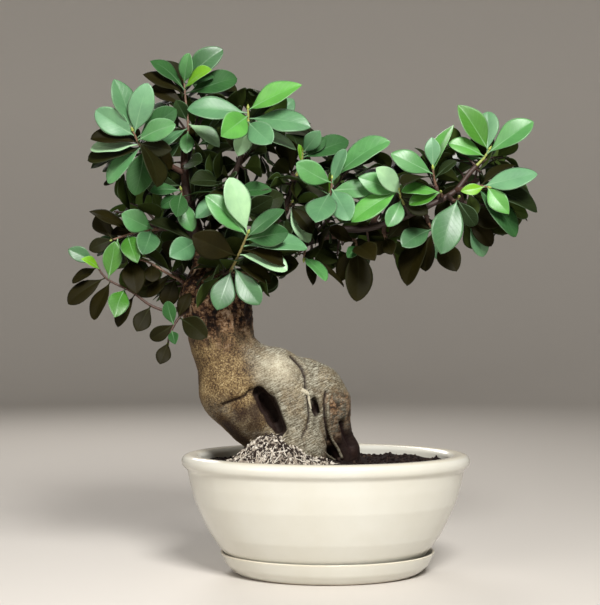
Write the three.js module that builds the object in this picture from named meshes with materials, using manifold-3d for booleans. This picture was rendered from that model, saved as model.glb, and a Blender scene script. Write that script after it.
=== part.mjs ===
// A ginseng-type fig bonsai in an oval glazed bowl with a drip saucer.
// Millimetres, +Z up, +Y away from the viewer, origin at the middle of the saucer's flat underside.
import * as THREE from 'three';
import Module from 'manifold-3d';
import { mergeVertices } from 'three/addons/utils/BufferGeometryUtils.js';

const wasm = await Module();
wasm.setup();

// ---- Driving dimensions ----
const OVAL = 0.75;             // depth of the pot and saucer over their width
const RING_SIDES = 24;         // facets round the pot and saucer
const GAP = 0.35;              // clearance between pieces that touch
const POT_SHIFT = -2;          // the pot stands a little left of the saucer's middle
const POT_WALL = 8;
const DRAIN_RADIUS = 6;
const DRAIN_REACH = 38;        // each drain hole's distance from the pot's middle
const FLOOR_TOP = 16;          // top of the pot's floor
const SOIL_TOP = 109;
const LEAF_THICK = 0.8;
const LEAF_ARCH = 0.05;        // rise of a leaf's middle over its length
const LEAF_ROOM = 1.7;         // least distance between the middles of two leaves
const LEAF_POINTED = 0.72;     // the lower, the blunter both ends of a leaf are
const STALK_SHARE = 0.1;       // share of a leaf's length that is its stalk
const TRUNK_CELL = 9.2;        // facet size on the trunk
const WELD = 1e-4;             // corners closer than this are one
const ROOT_ROOM = 1.2;         // how much wider than the wood its room in the soil and the mat is

// Seen from the front, the plant is laid out in millimetres across and down from this corner.
// A place also has a depth: it is pushed along the line of sight from the viewer's eye.
const CORNER = { across: -327.5, top: 571.5 };
const EYE = new THREE.Vector3(-27.5, -1327, 263.5);

// Outer shape of the pot: half width, inset from the oval, height.
const POT_PROFILE = [
  [0, 0, 9], [76, 0, 9], [78, 0, 5.3], [86, 0, 5.3], [96, 0, 15], [105.8, 0, 26.5],
  [115.5, 0, 40.3], [122.3, 0, 54], [130, 0, 71], [135, 0, 88.7], [138, 0, 103],
  [143, 0, 107.5], [144, 0, 112.3], [142, 0, 116.5], [137, 0, 118.5], [137, 8, 118.1],
  [137, 12.5, 115], [138, 13.2, 103], [130, POT_WALL, 71],
  [115.5, POT_WALL, 40.3], [105.8, POT_WALL, 27], [86, POT_WALL, FLOOR_TOP], [0, 0, FLOOR_TOP],
];
const SAUCER_PROFILE = [
  [0, 0, 0], [89, 0, 0], [95, 0, 3.5], [101, 0, 9.5], [105, 0, 17], [107, 0, 21.4],
  [104.5, 0, 21.9], [102.2, 0, 15.6], [97.5, 0, 8.2], [90, 0, 5], [0, 0, 5],
];
// The soil's side follows the pot's inner wall.
const SOIL_SIDE = [[86, 8, FLOOR_TOP], [105.8, 8, 27], [115.5, 8, 40.3], [130, 8, 71], [138, 13.2, 101]];
// Rings of its top, from the rim inwards.
const SOIL_RINGS = [[137, 13.4 + GAP], [104, 12], [72, 9], [38, 5], [0, 0]];

// The trunk is a run of swollen tapering lobes: across, down, depth, radius at each end.
const LOBES = [
  [[215, 300, 0, 35], [219, 322, 0, 32]],
  [[219, 322, 0, 32], [222, 345, 0, 29.5]],
  [[222, 345, 0, 29.5], [235, 379, 0, 34]],
  [[235, 379, 0, 34], [236, 390, -1, 34.5]],
  [[236, 390, -1, 34.5], [257, 411, -1, 33.5]],
  [[257, 411, -1, 33.5], [278, 436, 2, 29]],
  [[278, 436, 2, 29], [280, 484, 4, 25]],
  [[244, 368, 0, 29], [272, 376, 1, 26.5]],
  [[272, 376, 1, 26.5], [302, 386, 2, 26]],
  [[302, 386, 2, 26], [311, 393, 3, 31]],
  [[311, 393, 3, 31], [322, 408, 6, 28]],
  [[322, 408, 6, 28], [330, 427, 8, 18.5]],
  [[330, 427, 8, 18.5], [344, 450, 16, 14]],
  [[344, 450, 16, 14], [351, 486, 22, 12]],
  [[277, 374, -14, 25], [293, 410, -20, 22]],
  [[293, 410, -20, 22], [300, 450, -22, 24]],
  [[300, 450, -22, 24], [302, 486, -20, 22]],
  [[264, 400, 30, 28], [285, 455, 34, 26]],
  [[285, 455, 34, 26], [288, 486, 36, 22]],
];
const LOBE_BLEND = 9;
// Deep slots between the legs, as tapering lobes taken out of them.
const HOLLOWS = [
  [[258, 392, -39, 7], [266, 403, -39, 10]],
  [[266, 403, -39, 10], [279, 429, -39, 7]],
  [[259, 393, -28, 7], [267, 404, -28, 10]],
  [[267, 404, -28, 10], [278, 427, -29, 7]],
  [[263, 397, -17, 6], [273, 416, -17, 7.5]],
  [[314, 397, -40, 3.5], [316, 412, -28, 3.5]],
];
const HOLLOW_BLEND = 5;
const FAR = 1000;

// Limbs are part of the trunk: radius at the start and end, then places along the middle.
const LIMBS = [
  { radii: [10, 3.4], path: [[208, 280, 0], [198, 245, -2], [190, 205, -4], [185, 172, -3], [184, 150, 0]] },
  { radii: [9, 3.8], path: [[236, 287, 0], [270, 262, 0], [306, 242, -2]] },
  {
    radii: [3.8, 2.6], path: [[300, 245, -1], [322, 238, -3], [337, 230, -4], [369, 228, -8],
      [410, 215, -12], [440, 200, -12], [456, 190, -10], [468, 175, -7], [476, 166, -4]],
  },
  { radii: [3.4, 2.2], path: [[185, 174, -3], [162, 161, -20], [146, 152, -36]] },
  { radii: [4.6, 2.2], path: [[199, 247, -2], [222, 205, -14], [238, 165, -26], [244, 140, -31]] },
  { radii: [2.6, 2], path: [[223, 204, -15], [229, 197, -25]] },
  { radii: [4.6, 2.2], path: [[272, 261, 0], [283, 215, 4], [296, 176, -2]] },
  { radii: [2.6, 2], path: [[283, 216, 4], [288, 208, -8]] },
  { radii: [3.2, 2.2], path: [[306, 242, -2], [321, 216, -13], [327, 203, -21]] },
  { radii: [4, 2.6], path: [[222, 284, -16], [230, 272, -42]] },
  { radii: [3.8, 2.2], path: [[194, 230, -3], [178, 228, -12], [158, 229, -20]] },
  { radii: [2.8, 2], path: [[191, 210, -4], [186, 206, -15]] },
  { radii: [2.8, 2], path: [[198, 248, -3], [197, 246, -16]] },
  { radii: [3.6, 2.2], path: [[196, 302, -14], [184, 306, -24], [170, 313, -27]] },
  { radii: [2.8, 2], path: [[190, 308, -20], [183, 313, -32]] },
  { radii: [3.2, 2], path: [[196, 290, 0], [180, 280, -14]] },
  { radii: [3, 2], path: [[409, 215, -12], [404, 204, -24]] },
  { radii: [3, 2], path: [[440, 200, -12], [436, 186, -18]] },
  { radii: [2.8, 2], path: [[441, 200, -12], [442, 196, -24]] },
  { radii: [3, 2], path: [[456, 190, -10], [470, 188, -24]] },
  { radii: [3, 2], path: [[448, 196, -11], [454, 201, -26]] },
  { radii: [3, 2], path: [[424, 209, -12], [428, 222, 0]] },
  { radii: [3, 2], path: [[458, 188, -10], [463, 204, 2]] },
  { radii: [2.6, 2], path: [[324, 237, -3], [340, 237, -8], [355, 240, -13]] },
  { radii: [2.8, 2], path: [[308, 240, -3], [305, 249, -12]] },
  { radii: [2.8, 2], path: [[384, 224, -9], [384, 233, -2]] },
  // towards the back of the crown
  { radii: [4.4, 2.4], path: [[190, 205, -4], [200, 182, 28], [205, 164, 52]] },
  { radii: [4.4, 2.4], path: [[198, 245, -2], [182, 226, 32], [168, 216, 58]] },
  { radii: [5, 2.6], path: [[216, 280, 10], [226, 250, 42], [232, 232, 70]] },
  { radii: [4.6, 2.4], path: [[270, 262, 0], [284, 236, 36], [292, 214, 62]] },
  { radii: [3.2, 2.2], path: [[306, 242, -2], [324, 225, 30], [334, 208, 52]] },
  { radii: [3, 2.2], path: [[370, 228, -8], [376, 216, 22], [382, 204, 40]] },
  { radii: [3, 2], path: [[412, 214, -12], [422, 204, 14], [430, 194, 34]] },
  { radii: [3, 2], path: [[460, 186, -9], [470, 184, 14], [478, 180, 32]] },
  { radii: [3.4, 2], path: [[185, 170, -3], [190, 150, 22], [194, 134, 38]] },
  { radii: [3, 2], path: [[239, 163, -26], [252, 150, 0], [262, 138, 20]] },
  { radii: [4.2, 2.4], path: [[206, 286, 14], [184, 276, 44], [166, 266, 64]] },
  { radii: [4.4, 2.4], path: [[228, 286, 16], [242, 278, 52], [250, 272, 78]] },
];

// A leafy shoot: where its green stem runs, its leaves and how many hidden leaves fill it out.
// A leaf: across and down at its foot, across and down at its tip, width as seen, and, where it
// doesn't lean towards the viewer, how much deeper its tip is than its foot.
const SHOOTS = [
  {
    name: 'shoot_upper_left',
    stem: [[146, 152, -36], [138, 142, -45], [133, 131, -52]],
    fill: 0,
    leaves: [
      [128, 126, 115, 78, 22], [131, 137, 95, 110, 24], [134, 126, 148, 83, 24], [137, 127, 176, 108, 20, -2],
      [135, 132, 175, 124, 20, -20], [130, 152, 90, 149, 12], [132, 142, 90, 138, 12, -14],
      [131, 158, 87, 160, 14, -8], [127, 165, 90, 168, 11, 6], [141, 162, 135, 195, 26],
      [127, 167, 107, 183, 16, 6]],
  },
  {
    name: 'shoot_top',
    stem: [[184, 150, 0], [188, 130, -4], [186, 105, -3], [184, 80, 0]],
    fill: 0,
    leaves: [
      [188, 78, 222, 48, 20], [180, 91, 151, 59, 12], [186, 95, 143, 73, 12], [186, 106, 151, 86, 15],
      [183, 81, 189, 53, 14], [186, 82, 214, 76, 9], [188, 95, 237, 76, 20],
      [190, 122, 176, 100, 14], [191, 124, 220, 146, 14], [190, 130, 186, 153, 14],
      [184, 130, 158, 148, 11], [186, 138, 152, 170, 13]],
  },
  {
    name: 'shoot_upper_middle',
    stem: [[244, 140, -31], [248, 126, -36], [248, 109, -40]],
    fill: 1,
    leaves: [
      [248, 111, 302, 84, 21], [243, 107, 187, 108, 22], [248, 109, 221, 136, 27], [252, 114, 311, 126, 20],
      [251, 115, 271, 143, 24], [246, 123, 238, 156, 17], [248, 130, 297, 149, 12, 8]],
  },
  {
    name: 'shoot_middle', stem: [[296, 176, -2], [301, 165, -4], [303, 152, -6]], fill: 1, leaves: [
      [297, 150, 320, 131, 16], [304, 157, 326, 138, 12], [305, 160, 349, 140, 17]],
  },
  {
    name: 'shoot_right_of_middle',
    stem: [[327, 203, -21], [331, 190, -28], [332, 179, -31]],
    fill: 1,
    leaves: [
      [334, 178, 388, 138, 20], [329, 181, 296, 163, 22], [332, 174, 346, 149, 13],
      [332, 186, 350, 220, 24], [334, 184, 373, 190, 18], [330, 186, 315, 220, 25]],
  },
  {
    name: 'shoot_front', stem: [[230, 272, -42], [239, 254, -60], [248, 233, -76]], fill: 0, leaves: [
      [250, 228, 229, 177, 25], [246, 230, 206, 195, 24], [251, 231, 284, 209, 18], [251, 238, 289, 232, 22],
      [248, 248, 308, 246, 18], [244, 258, 288, 270, 15], [246, 252, 287, 264, 12, 2],
      [236, 268, 260, 305, 22], [230, 272, 217, 310, 23], [238, 266, 271, 282, 12, 6],
      [240, 256, 193, 236, 28]],
  },
  {
    name: 'shoot_left_of_middle', stem: [[229, 197, -25], [234, 189, -37]], fill: 1, leaves: [
      [229, 198, 195, 217, 16], [234, 194, 272, 190, 14]],
  },
  {
    name: 'shoot_centre', stem: [[288, 208, -8], [292, 202, -20]], fill: 0, leaves: [
      [288, 208, 309, 243, 18], [292, 206, 313, 234, 14, 2]],
  },
  {
    name: 'shoot_left',
    stem: [[158, 229, -20], [140, 231, -26], [124, 236, -30], [112, 240, -32]],
    fill: 0,
    leaves: [
      [125, 207, 89, 211, 12], [112, 238, 96, 214, 18], [110, 237, 89, 250, 14], [160, 226, 122, 214, 22],
      [134, 230, 110, 232, 11], [156, 234, 143, 254, 22], [127, 236, 137, 262, 20],
      [112, 241, 116, 262, 9]],
  },
  {
    name: 'shoot_left_inner',
    stem: [[186, 206, -15], [183, 198, -22], [181, 190, -28]],
    fill: 1,
    leaves: [
      [184, 199, 192, 231, 17], [178, 196, 161, 207, 12], [188, 192, 177, 216, 18], [176, 190, 150, 190, 11]],
  },
  {
    name: 'shoot_left_low', stem: [[197, 246, -16], [196, 240, -26]], fill: 2, leaves: [
      [196, 241, 171, 256, 24]],
  },
  {
    name: 'spray_drooping',
    stem: [[170, 313, -27], [150, 305, -29], [132, 292, -31], [112, 282, -34], [103, 275, -35],
      [96, 264, -36]],
    fill: 0,
    leaves: [
      [107, 279, 115, 241, 18], [95, 264, 68, 249, 14], [96, 268, 72, 283, 11],
      [103, 282, 67, 303, 17], [106, 286, 93, 320, 13], [124, 290, 115, 317, 20], [134, 298, 117, 327, 13],
      [150, 307, 137, 331, 17]],
  },
  {
    name: 'spray_low',
    stem: [[183, 313, -32], [176, 322, -37], [170, 334, -40], [168, 343, -41]],
    fill: 0,
    leaves: [
      [181, 316, 206, 337, 20], [171, 330, 175, 344, 10], [168, 342, 160, 364, 14], [172, 322, 150, 339, 14],
      [178, 314, 190, 292, 12, 3], [170, 324, 167, 301, 13]],
  },
  {
    name: 'spray_behind',
    stem: [[180, 280, -14], [165, 272, -18], [148, 262, -20], [131, 257, -22]],
    fill: 1,
    leaves: [
      [129, 258, 136, 293, 22], [158, 272, 141, 286, 11], [171, 277, 147, 297, 12], [152, 262, 152, 281, 18],
      [176, 281, 165, 306, 18]],
  },
  {
    name: 'shoot_right_first',
    stem: [[404, 204, -24], [401, 198, -31], [399, 190, -37]],
    fill: 0,
    leaves: [
      [398, 192, 351, 222, 22], [395, 186, 359, 177, 20, -8], [400, 188, 377, 168, 18, -26],
      [402, 198, 388, 226, 17]],
  },
  {
    name: 'shoot_right_upper',
    stem: [[436, 186, -18], [434, 178, -21], [433, 169, -25]],
    fill: 1,
    leaves: [
      [432, 174, 391, 153, 20], [433, 169, 432, 137, 15], [434, 168, 454, 124, 15], [438, 178, 456, 160, 8]],
  },
  {
    name: 'shoot_right_inner', stem: [[442, 196, -24], [441, 192, -36]], fill: 0, leaves: [
      [441, 192, 409, 204, 13], [440, 193, 402, 189, 10]],
  },
  {
    name: 'shoot_right_tip', stem: [[476, 166, -4], [484, 158, -4], [489, 150, -4]], fill: 0, leaves: [
      [488, 149, 459, 104, 22], [491, 148, 488, 111, 20, 8], [490, 153, 534, 121, 23],
      [490, 150, 449, 142, 14], [486, 156, 456, 151, 13, 3]],
  },
  {
    name: 'shoot_right_low',
    stem: [[470, 188, -24], [479, 186, -32], [488, 187, -38]],
    fill: 0,
    leaves: [
      [488, 188, 509, 214, 18], [485, 184, 461, 191, 11], [490, 182, 538, 174, 22],
      [486, 180, 515, 163, 11, 6], [490, 192, 538, 212, 20], [486, 194, 518, 236, 20, 4]],
  },
  {
    name: 'shoot_right_front',
    stem: [[454, 201, -26], [457, 200, -36], [459, 197, -46]],
    fill: 0,
    leaves: [
      [458, 199, 441, 254, 30], [459, 200, 476, 226, 16, 4]],
  },
  {
    name: 'shoot_right_under', stem: [[428, 222, 0], [434, 232, 4], [444, 240, 6]], fill: 1, leaves: [
      [444, 240, 456, 270, 22], [432, 234, 425, 271, 18], [428, 228, 404, 284, 20], [426, 220, 402, 246, 19],
      [436, 236, 441, 262, 14]],
  },
  {
    name: 'shoot_right_behind', stem: [[463, 204, 2], [467, 213, 5], [470, 220, 6]], fill: 1, leaves: [
      [470, 212, 492, 246, 17], [469, 220, 484, 257, 16], [466, 208, 500, 226, 18]],
  },
  {
    name: 'shoot_hanging', stem: [[355, 240, -13], [357, 247, -16]], fill: 0, leaves: [
      [358, 242, 357, 302, 25], [352, 240, 348, 257, 11], [354, 242, 339, 282, 16, 6],
      [356, 240, 374, 258, 19]],
  },
  {
    name: 'shoot_hanging_inner', stem: [[305, 249, -12], [304, 258, -14]], fill: 0, leaves: [
      [303, 252, 314, 285, 8], [305, 254, 326, 280, 13], [306, 250, 345, 286, 4]],
  },
  {
    name: 'shoot_hanging_outer', stem: [[384, 233, -2], [387, 244, 1]], fill: 1, leaves: [
      [384, 234, 392, 254, 14], [386, 236, 372, 252, 14]],
  },
  { name: 'back_top', stem: [[205, 164, 52], [208, 149, 66]], fill: 5, leaves: [] },
  { name: 'back_left', stem: [[168, 216, 58], [156, 209, 73]], fill: 5, leaves: [] },
  { name: 'back_middle', stem: [[232, 232, 70], [236, 217, 84]], fill: 5, leaves: [] },
  { name: 'back_right_of_middle', stem: [[292, 214, 62], [295, 199, 77]], fill: 5, leaves: [] },
  { name: 'back_centre', stem: [[334, 208, 52], [339, 196, 66]], fill: 5, leaves: [] },
  { name: 'back_right_inner', stem: [[382, 204, 40], [386, 192, 54]], fill: 5, leaves: [] },
  { name: 'back_right', stem: [[430, 194, 34], [437, 183, 48]], fill: 5, leaves: [] },
  { name: 'back_right_tip', stem: [[478, 180, 32], [486, 176, 49]], fill: 5, leaves: [] },
  { name: 'back_upper_left', stem: [[194, 134, 38], [196, 121, 52]], fill: 5, leaves: [] },
  {
    name: 'back_upper_middle', stem: [[262, 138, 20], [268, 124, 34]], fill: 5, leaves: [
      [272, 132, 294, 98, 18, 6]],
  },
  { name: 'back_left_low', stem: [[166, 266, 64], [153, 260, 79]], fill: 5, leaves: [] },
  { name: 'back_low', stem: [[250, 272, 78], [256, 268, 97]], fill: 5, leaves: [] },
];

// The crown's outline seen from the front: the hidden leaves stay inside it.
const CROWN_OUTLINE = [
  [150, 60], [165, 57], [189, 52], [222, 48], [214, 70], [237, 76], [238, 90], [262, 84], [301, 82],
  [304, 96], [302, 110], [318, 128], [345, 139], [352, 150], [388, 138], [386, 153], [410, 150],
  [431, 138], [441, 126], [455, 122], [461, 105], [489, 111], [500, 118], [533, 121], [524, 138],
  [514, 152], [538, 173], [534, 192], [538, 211], [518, 236], [490, 246], [457, 268], [440, 262],
  [426, 270], [405, 282], [390, 254], [373, 258], [362, 298], [351, 298], [343, 284], [325, 279],
  [312, 262], [302, 262], [292, 270], [262, 303], [250, 298], [240, 285], [222, 306], [210, 302],
  [198, 330], [180, 320], [170, 300], [150, 300], [128, 292], [112, 270], [100, 262], [90, 255],
  [97, 215], [92, 206], [110, 196], [106, 184], [88, 163], [92, 140], [96, 110], [112, 80],
  [127, 82], [148, 84],
];

// Hidden leaves: length, width over length, and the lean from the shoot's direction.
const FILL_LENGTH = [40, 56];
const FILL_WIDTH = 0.45;
const FILL_LEAN = [50, 88];
const GOLDEN_TURN = 137.5;

// ---- Small helpers ----
let draw = 20241;
function random() {
  draw = (draw * 16807) % 2147483647;
  return draw / 2147483647;
}

function between(range) {
  return range[0] + (range[1] - range[0]) * random();
}

// A place given as seen from the front, pushed to its depth along the line of sight.
function place([across, down, depth]) {
  const middle = new THREE.Vector3(CORNER.across + across, 0, CORNER.top - down);
  return middle.lerp(EYE, depth / EYE.y);
}

// The same place read back: across and down on the middle plane.
function seen(point) {
  const share = EYE.y / (EYE.y - point.y);
  const across = EYE.x + (point.x - EYE.x) * share - CORNER.across;
  const down = CORNER.top - EYE.z - (point.z - EYE.z) * share;
  return [across, down];
}

function insideOutline([across, down]) {
  let inside = false;
  CROWN_OUTLINE.forEach(([x1, y1], i) => {
    const [x2, y2] = CROWN_OUTLINE[(i + 1) % CROWN_OUTLINE.length];
    const crosses = (y1 > down) !== (y2 > down);
    if (crosses && across < x1 + ((down - y1) / (y2 - y1)) * (x2 - x1)) inside = !inside;
  });
  return inside;
}

function geometryOf(points, triangles) {
  const geometry = new THREE.BufferGeometry();
  geometry.setAttribute('position', new THREE.Float32BufferAttribute(points.flat(), 3));
  geometry.setIndex(triangles.flat());
  return geometry;
}

function solidOf(geometry) {
  const merged = mergeVertices(geometry, WELD);
  return new wasm.Manifold(new wasm.Mesh({
    numProp: 3,
    vertProperties: new Float32Array(merged.attributes.position.array),
    triVerts: new Uint32Array(merged.index.array),
  }));
}

function biggestPart(solid) {
  const parts = solid.decompose();
  parts.sort((a, b) => b.volume() - a.volume());
  return parts[0];
}

function geometryFrom(solid) {
  const mesh = solid.getMesh();
  const geometry = new THREE.BufferGeometry();
  geometry.setAttribute('position', new THREE.Float32BufferAttribute(mesh.vertProperties, 3));
  geometry.setIndex(Array.from(mesh.triVerts));
  return geometry;
}

function join(solids) {
  return wasm.Manifold.union(solids);
}

// ---- Oval pottery ----
// Rings of an oval body from the axis below to the axis above; an inset narrows both ways alike.
function ovalGeometry(profile, height = (x, y, z) => z) {
  const points = [];
  const triangles = [];
  const rings = profile.map(([reach, inset, z]) => {
    if (reach === 0) return [points.push([0, 0, height(0, 0, z)]) - 1];
    return Array.from({ length: RING_SIDES }, (_, i) => {
      const turn = (2 * Math.PI * i) / RING_SIDES;
      const x = (reach - inset) * Math.cos(turn);
      const y = (OVAL * reach - inset) * Math.sin(turn);
      return points.push([x, y, height(x, y, z)]) - 1;
    });
  });
  for (let r = 0; r + 1 < rings.length; r++) {
    for (let i = 0; i < RING_SIDES; i++) {
      const j = (i + 1) % RING_SIDES;
      const [a, b] = [rings[r], rings[r + 1]];
      if (a.length > 1) triangles.push([a[i], a[j], b[b.length > 1 ? i : 0]]);
      if (b.length > 1) triangles.push([b[j], b[i], a[a.length > 1 ? j : 0]]);
    }
  }
  return geometryOf(points, triangles).translate(POT_SHIFT, 0, 0);
}

function saucerGeometry() {
  return ovalGeometry(SAUCER_PROFILE).translate(-POT_SHIFT, 0, 0);
}

const PLUG = { length: 30, sides: 12, middle: 12 };

function potGeometry() {
  const plug = new THREE.CylinderGeometry(DRAIN_RADIUS, DRAIN_RADIUS, PLUG.length, PLUG.sides);
  plug.rotateX(Math.PI / 2);
  plug.deleteAttribute('normal');
  plug.deleteAttribute('uv');
  const holes = [-DRAIN_REACH, DRAIN_REACH].map((x) => (
    solidOf(plug.clone().translate(POT_SHIFT + x, 0, PLUG.middle))));
  return geometryFrom(solidOf(ovalGeometry(POT_PROFILE)).subtract(join(holes)));
}

// ---- Soil and root mat ----
// Two crossing waves in the soil: height, then length across and length deep.
const BROAD_WAVE = [1.4, 13, 11];
const FINE_WAVE = [0.9, 6.5, 8.5];
const WAVE_START = 1.1;

function soilBumps(x, y) {
  const [broad, broadAcross, broadDeep] = BROAD_WAVE;
  const [fine, fineAcross, fineDeep] = FINE_WAVE;
  const swell = broad * Math.sin(x / broadAcross + WAVE_START) * Math.cos(y / broadDeep);
  return swell + fine * Math.sin(x / fineAcross - y / fineDeep);
}

function soilGeometry(trunkRoom) {
  const lifted = (z) => z + (z === FLOOR_TOP ? GAP : 0);
  const side = SOIL_SIDE.map(([reach, inset, z]) => [reach - GAP, inset + GAP, lifted(z)]);
  const top = SOIL_RINGS.map(([reach, inset]) => [reach, inset, SOIL_TOP]);
  const profile = [[0, 0, FLOOR_TOP + GAP], ...side, ...top];
  const bumpy = (x, y, z) => (z >= SOIL_TOP ? z + soilBumps(x, y) : z);
  const soil = solidOf(ovalGeometry(profile, bumpy));
  return geometryFrom(biggestPart(soil.subtract(trunkRoom)));
}

const MAT = {
  middle: [274, 470, -32],
  reach: [50, 62],             // to the left and to the right of the middle
  depth: 40,
  height: 28,
  steepness: 1.6,
  lift: 2.6,                   // over the soil's mean height
  edge: 1.2,                   // thickness at the rim
  rings: 5,
  sides: 24,
};
const RIDGES = { height: 1.6, count: 9, swirl: 5 };

// Fine threads of root make low ridges on the mat.
function matHeight(share, turn) {
  const inside = Math.min(1, share);
  const rise = Math.cos((Math.PI / 2) * inside) ** MAT.steepness;
  const ridge = Math.sin(RIDGES.count * turn + RIDGES.swirl * share) * Math.sin(Math.PI * inside);
  return MAT.height * rise + RIDGES.height * ridge;
}

function matGeometry(trunkRoom) {
  const middle = place(MAT.middle);
  const base = SOIL_TOP + MAT.lift + GAP;
  const points = [[middle.x, middle.y, base], [middle.x, middle.y, base + matHeight(0, 0)]];
  const triangles = [];
  for (let r = 1; r <= MAT.rings; r++) {
    for (let i = 0; i < MAT.sides; i++) {
      const turn = (2 * Math.PI * i) / MAT.sides;
      const share = r / MAT.rings;
      const x = middle.x + MAT.reach[Math.cos(turn) < 0 ? 0 : 1] * share * Math.cos(turn);
      const y = middle.y + MAT.depth * share * Math.sin(turn);
      points.push([x, y, base + (r === MAT.rings ? MAT.edge : matHeight(share, turn))]);
    }
  }
  const foot = points.length;
  for (let i = 0; i < MAT.sides; i++) {
    const [x, y] = points[foot - MAT.sides + i];
    points.push([x, y, base]);
  }
  for (let i = 0; i < MAT.sides; i++) {
    const j = (i + 1) % MAT.sides;
    triangles.push([1, 2 + i, 2 + j], [0, foot + j, foot + i]);
    for (let r = 0; r < MAT.rings; r++) {
      const [a, b] = [2 + r * MAT.sides, 2 + (r + 1) * MAT.sides];
      triangles.push([a + i, b + i, b + j], [a + i, b + j, a + j]);
    }
  }
  const mat = solidOf(geometryOf(points, triangles));
  return geometryFrom(biggestPart(mat.subtract(trunkRoom)));
}

// ---- Trunk ----
function lobesOf(rows) {
  return rows.map(([from, to]) => ({
    from: place(from), to: place(to), radii: [from[3], to[3]],
  }));
}

const lobes = lobesOf(LOBES);
const hollows = lobesOf(HOLLOWS);

function lobeDistance(point, { from, to, radii }) {
  const along = new THREE.Vector3().subVectors(to, from);
  const offset = new THREE.Vector3().subVectors(point, from);
  const share = Math.min(1, Math.max(0, offset.dot(along) / along.lengthSq()));
  const radius = radii[0] + (radii[1] - radii[0]) * share;
  return offset.addScaledVector(along, -share).length() - radius;
}

function blendNearer(a, b, width) {
  const overlap = Math.max(0, width - Math.abs(a - b)) / width;
  return Math.min(a, b) - overlap * overlap * width * 0.25;
}

// Distance from the trunk's skin, below zero inside the wood.
function trunkField(point) {
  const wood = lobes.reduce((near, lobe) => blendNearer(near, lobeDistance(point, lobe), LOBE_BLEND), FAR);
  const holes = hollows.reduce((near, hole) => Math.min(near, lobeDistance(point, hole)), FAR);
  return -blendNearer(-wood, holes, HOLLOW_BLEND);
}

const TRUNK_BOX = { low: [-166, -74, 42.5], high: [52, 86, 316] };
const TRUNK_FOOT = 92;
const CUTTER = { side: 400, height: 100 };

// A faceted skin where a field is zero, one corner for each cell that the skin passes through.
function skinGeometry(field, { low, high }, cell) {
  const counts = low.map((edge, k) => Math.ceil((high[k] - edge) / cell) + 1);
  const [nx, ny, nz] = counts;
  const index = (i, j, k) => i + nx * (j + ny * k);
  const values = new Float64Array(nx * ny * nz);
  const point = new THREE.Vector3();
  const steps = (visit) => {
    for (let k = 0; k < nz; k++) for (let j = 0; j < ny; j++) for (let i = 0; i < nx; i++) visit(i, j, k);
  };
  steps((i, j, k) => {
    point.set(low[0] + i * cell, low[1] + j * cell, low[2] + k * cell);
    values[index(i, j, k)] = field(point);
  });
  const points = [];
  const corner = new Map();
  const corners = [0, 1, 2, 3, 4, 5, 6, 7].map((n) => [n & 1, (n >> 1) & 1, n >> 2]);
  steps((i, j, k) => {
    if (i + 1 >= nx || j + 1 >= ny || k + 1 >= nz) return;
    const found = corners.map(([a, b, c]) => values[index(i + a, j + b, k + c)]);
    const middle = [0, 0, 0];
    let crossings = 0;
    for (let a = 0; a < 8; a++) {
      for (let b = a + 1; b < 8; b++) {
        const apart = [0, 1, 2].filter((n) => corners[a][n] !== corners[b][n]);
        if (apart.length !== 1 || (found[a] < 0) === (found[b] < 0)) continue;
        const share = found[a] / (found[a] - found[b]);
        [0, 1, 2].forEach((n) => { middle[n] += corners[a][n] + (corners[b][n] - corners[a][n]) * share; });
        crossings += 1;
      }
    }
    if (!crossings) return;
    const here = [i, j, k].map((n, axis) => low[axis] + (n + middle[axis] / crossings) * cell);
    corner.set(index(i, j, k), points.push(here) - 1);
  });
  const triangles = [];
  const around = [[[0, 1, 0], [0, 0, 1]], [[0, 0, 1], [1, 0, 0]], [[1, 0, 0], [0, 1, 0]]];
  const ahead = [[1, 0, 0], [0, 1, 0], [0, 0, 1]];
  steps((i, j, k) => {
    ahead.forEach(([a, b, c], axis) => {
      if (i + a >= nx || j + b >= ny || k + c >= nz) return;
      const inside = values[index(i, j, k)] < 0;
      if (inside === values[index(i + a, j + b, k + c)] < 0) return;
      const [u, v] = around[axis];
      const cellAt = (p, q) => corner.get(index(
        i - p * u[0] - q * v[0], j - p * u[1] - q * v[1], k - p * u[2] - q * v[2]));
      const ring = [cellAt(1, 1), cellAt(0, 1), cellAt(0, 0), cellAt(1, 0)];
      if (!inside) ring.reverse();
      triangles.push([ring[0], ring[1], ring[2]], [ring[0], ring[2], ring[3]]);
    });
  });
  return geometryOf(points, triangles);
}

const FIRST_ACROSS = new THREE.Vector3(0.3, -1, 0.2);

// A tapering tube with flat ends through the given points.
function tubeGeometry(path, radii, sides) {
  const points = [];
  const triangles = [];
  const lengths = path.map((p, i) => (i ? p.distanceTo(path[i - 1]) : 0));
  const total = lengths.reduce((sum, n) => sum + n, 0);
  let run = 0;
  let across = null;
  path.forEach((p, i) => {
    run += lengths[i];
    const [before, after] = [path[Math.max(i - 1, 0)], path[Math.min(i + 1, path.length - 1)]];
    const ahead = new THREE.Vector3().subVectors(after, before).normalize();
    across ??= FIRST_ACROSS.clone();
    across.addScaledVector(ahead, -across.dot(ahead)).normalize();
    const side = new THREE.Vector3().crossVectors(ahead, across);
    const radius = radii[0] + (radii[1] - radii[0]) * (run / total);
    for (let n = 0; n < sides; n++) {
      const turn = (2 * Math.PI * n) / sides;
      const edge = p.clone().addScaledVector(across, radius * Math.cos(turn));
      points.push(edge.addScaledVector(side, radius * Math.sin(turn)).toArray());
    }
  });
  const last = (path.length - 1) * sides;
  const ends = [points.push(path[0].toArray()) - 1, points.push(path[path.length - 1].toArray()) - 1];
  for (let n = 0; n < sides; n++) {
    const m = (n + 1) % sides;
    triangles.push([ends[0], m, n], [ends[1], last + n, last + m]);
    for (let r = 0; r < last; r += sides) {
      triangles.push([r + n, r + m, r + sides + m], [r + n, r + sides + m, r + sides + n]);
    }
  }
  return geometryOf(points, triangles);
}

const limbPaths = LIMBS.map(({ path }) => path.map(place));

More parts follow.
